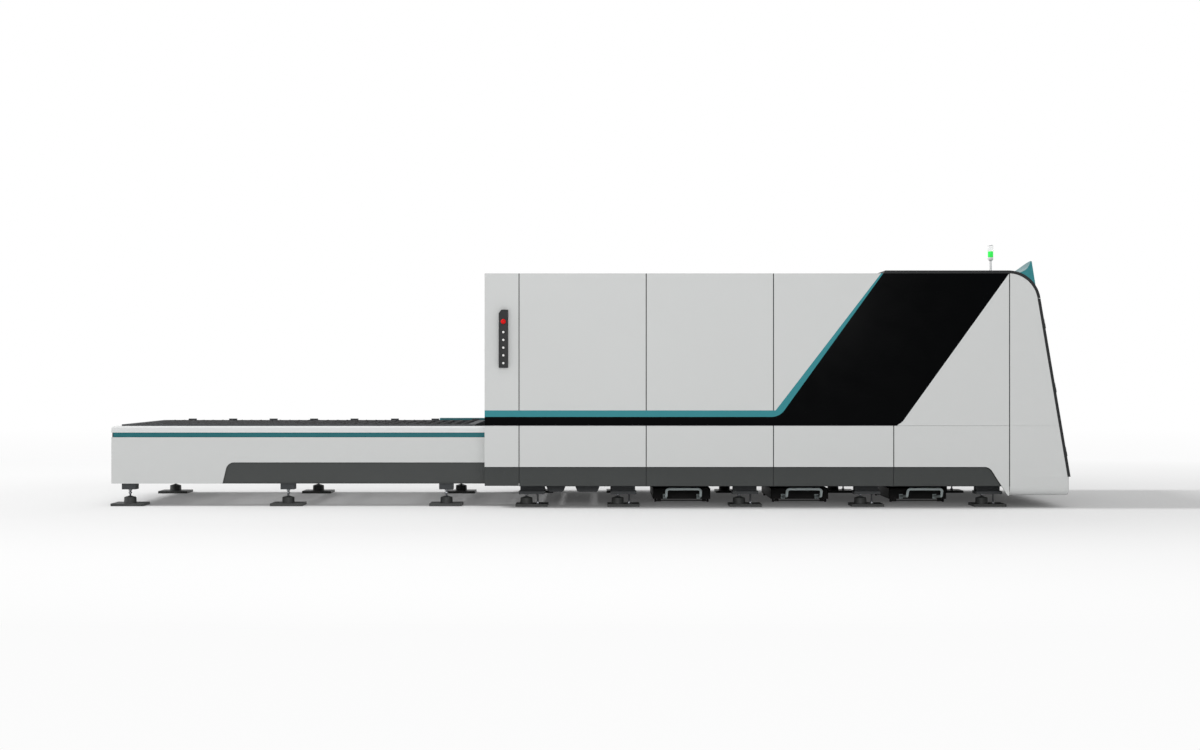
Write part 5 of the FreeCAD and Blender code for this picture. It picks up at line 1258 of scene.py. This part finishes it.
# ---------------------------------------------------------------------------------------- studio
@dataclass
class Studio:
    """Pale floor, soft light and the camera at the photograph's viewpoint.

    Args:
        camera_place: Where the camera stands.
        lens: Focal length in millimetres.
        sensor: Sensor width in millimetres.
        sky: Strength of the surroundings.
        floor_size: Half the floor's side.
        floor_cells: Cells along a side of the floor.
        floor_low: How far the floor lies under the feet.
        squash: How slowly the floor changes along the machine's length.
        painted_shade_tone: Brightness of the matt floor, darker near the machine as painted shade: two
            distances and the values there.
        backdrop_glow_and_painted_light: Share of the floor's glow, given in the same way; the small share
            kept near the machine is painted light that lifts the shadows under it.
        glow: Strength of the floor's glow, given in the same way.
        lamps: Name, place, aim, length and width, and power in watts of each lamp.
    """

    camera_place: tuple[float, float, float] = (0.128, -19.50, 1.266)
    lens: float = 57.09
    sensor: float = 36.0
    sky: float = 0.60
    floor_size: float = 60.0
    floor_cells: int = 24
    floor_low: float = 0.0005
    squash: float = 0.62
    painted_shade_tone: tuple[float, ...] = (1.8, 6.5, 0.75, 0.84)
    backdrop_glow_and_painted_light: tuple[float, ...] = (4.0, 10.0, 0.06, 1.0)
    glow: tuple[float, ...] = (9.0, 26.0, 0.962, 1.0)
    lamps: tuple[tuple[Any, ...], ...] = (
        ("key_light", (-40.0, 0.0, 40.0), (0.0, 0.0, 0.8), (5.0, 20.0), 18500.0),
        ("front_light", (0.0, -16.0, 3.5), (0.0, 0.0, 0.8), (9.0, 3.0), 560.0),
        ("back_light", (0.0, 9.0, 8.0), (0.0, 0.0, 1.0), (9.0, 6.0), 110.0))

    def build(self) -> None:
        """Makes the floor, the world, the lamps and the camera."""
        self._floor()
        self._world()
        for lamp in self.lamps:
            self._lamp(*lamp)
        self._camera()

    def _floor(self) -> None:
        """Large pale floor: near the machine it takes shadows and is darkened as painted shade, far away it
        glows white for the camera.
        """
        count = self.floor_cells + 1
        line = np.linspace(-self.floor_size, self.floor_size, count)
        points = spread(line[:, None], line, -self.floor_low).reshape(-1, 3)
        number = np.arange(count * count).reshape(count, count)
        corners = [number[:-1, :-1], number[1:, :-1], number[1:, 1:], number[:-1, 1:]]
        mesh = bpy.data.meshes.new("studio_floor")
        mesh.from_pydata(points.tolist(), [], spread(*corners).reshape(-1, 4).tolist())
        floor = linked("studio_floor", mesh)
        mesh.materials.append(self._floor_material())

    def _floor_material(self) -> bpy.types.Material:
        """Matt white, darker near the machine as painted shade, that turns into a white glow with distance,
        for the camera and for mirrors.
        """
        made = bpy.data.materials.new("studio floor")
        graph = Graph(made)
        graph.tree.nodes.clear()
        place = graph.add("TexCoord").outputs["Object"]
        squashed = graph.add("Mapping", {"Vector": place, "Scale": (self.squash, 1.0, 1.0)}).outputs["Vector"]
        length = graph.add("VectorMath", {0: squashed}, "LENGTH").outputs["Value"]
        # The matt colour darkens towards the machine: painted shade round and under it.
        matt = graph.add("BsdfDiffuse", {"Color": graph.ranged(length, *self.painted_shade_tone)})
        glow = graph.add("Emission", {"Strength": graph.ranged(length, *self.glow)})
        path = graph.add("LightPath").outputs
        seen = graph.combined("MAXIMUM", path["Is Camera Ray"], path["Is Glossy Ray"])
        # A small share of glow stays near the machine: painted light that lifts the floor's shadows under it.
        share = graph.combined("MULTIPLY", graph.ranged(length, *self.backdrop_glow_and_painted_light), seen)
        graph.output("Material", share, matt.outputs["BSDF"], glow.outputs["Emission"])
        return made

    def _world(self) -> None:
        """Even pale surroundings that light the machine softly and look white to the camera."""
        world = bpy.data.worlds.new("studio")
        bpy.context.scene.world = world
        graph = Graph(world)
        graph.tree.nodes.clear()
        light, seen = (graph.add("Background", {"Color": WHITE_LIGHT, "Strength": strength})
                       for strength in (self.sky, 1.0))
        path = graph.add("LightPath").outputs
        share = graph.combined("MAXIMUM", path["Is Camera Ray"], path["Is Transmission Ray"])
        graph.output("World", share, light.outputs["Background"], seen.outputs["Background"])

    @staticmethod
    def _lamp(name: str, place: Sequence[float], aim: Sequence[float], size: tuple[float, float],
              power: float) -> None:
        """A large rectangular lamp pointed at the machine, hidden from the camera.

        Args:
            name: Name of the lamp.
            place: Where it hangs.
            aim: The point it faces.
            size: Its length and width.
            power: Its power in watts.
        """
        light = bpy.data.lights.new(name, "AREA")
        light.shape = "RECTANGLE"
        light.size, light.size_y = size
        light.energy = power
        lamp = linked(name, light)
        lamp.visible_camera = False
        lamp.location = place
        direction = np.array(aim) - np.array(place)
        flat = math.hypot(direction[0], direction[1])
        lamp.rotation_euler = (math.atan2(flat, -direction[2]), 0.0, math.atan2(-direction[0], direction[1]))

    def _camera(self) -> None:
        """Level camera looking straight at the machine's side."""
        optics = bpy.data.cameras.new("camera")
        optics.sensor_width = self.sensor
        optics.lens = self.lens
        camera = linked("camera", optics)
        camera.location = self.camera_place
        camera.rotation_euler = (math.pi / 2.0, 0.0, 0.0)
        bpy.context.scene.camera = camera


def main() -> None:
    """Loads the frame, builds every sub-assembly in order and notes the sizes."""
    logging.basicConfig(level=logging.INFO, format="%(message)s")
    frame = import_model()
    parts = [
        CadNodes(frame["nodes"]), LevellingFeet(), RailCaps(), PalletSlats("upper"),
        PalletSlats("lower", shift_x=4.930, shift_z=-0.250), PalletWheels(),
        *(ScrapCart(number, centre) for number, centre in enumerate((0.941, 2.115, 3.289), 1)),
        RoofCap(), Crest(), FrontCheeks(), FrontDoors(), PanelShadeStrips(), ControlPanel(), TowerLight(), Studio(),
    ]
    for part in parts:
        part.build()
    bpy.context.scene.view_settings.view_transform = "Standard"


if __name__ == "__main__":
    main()
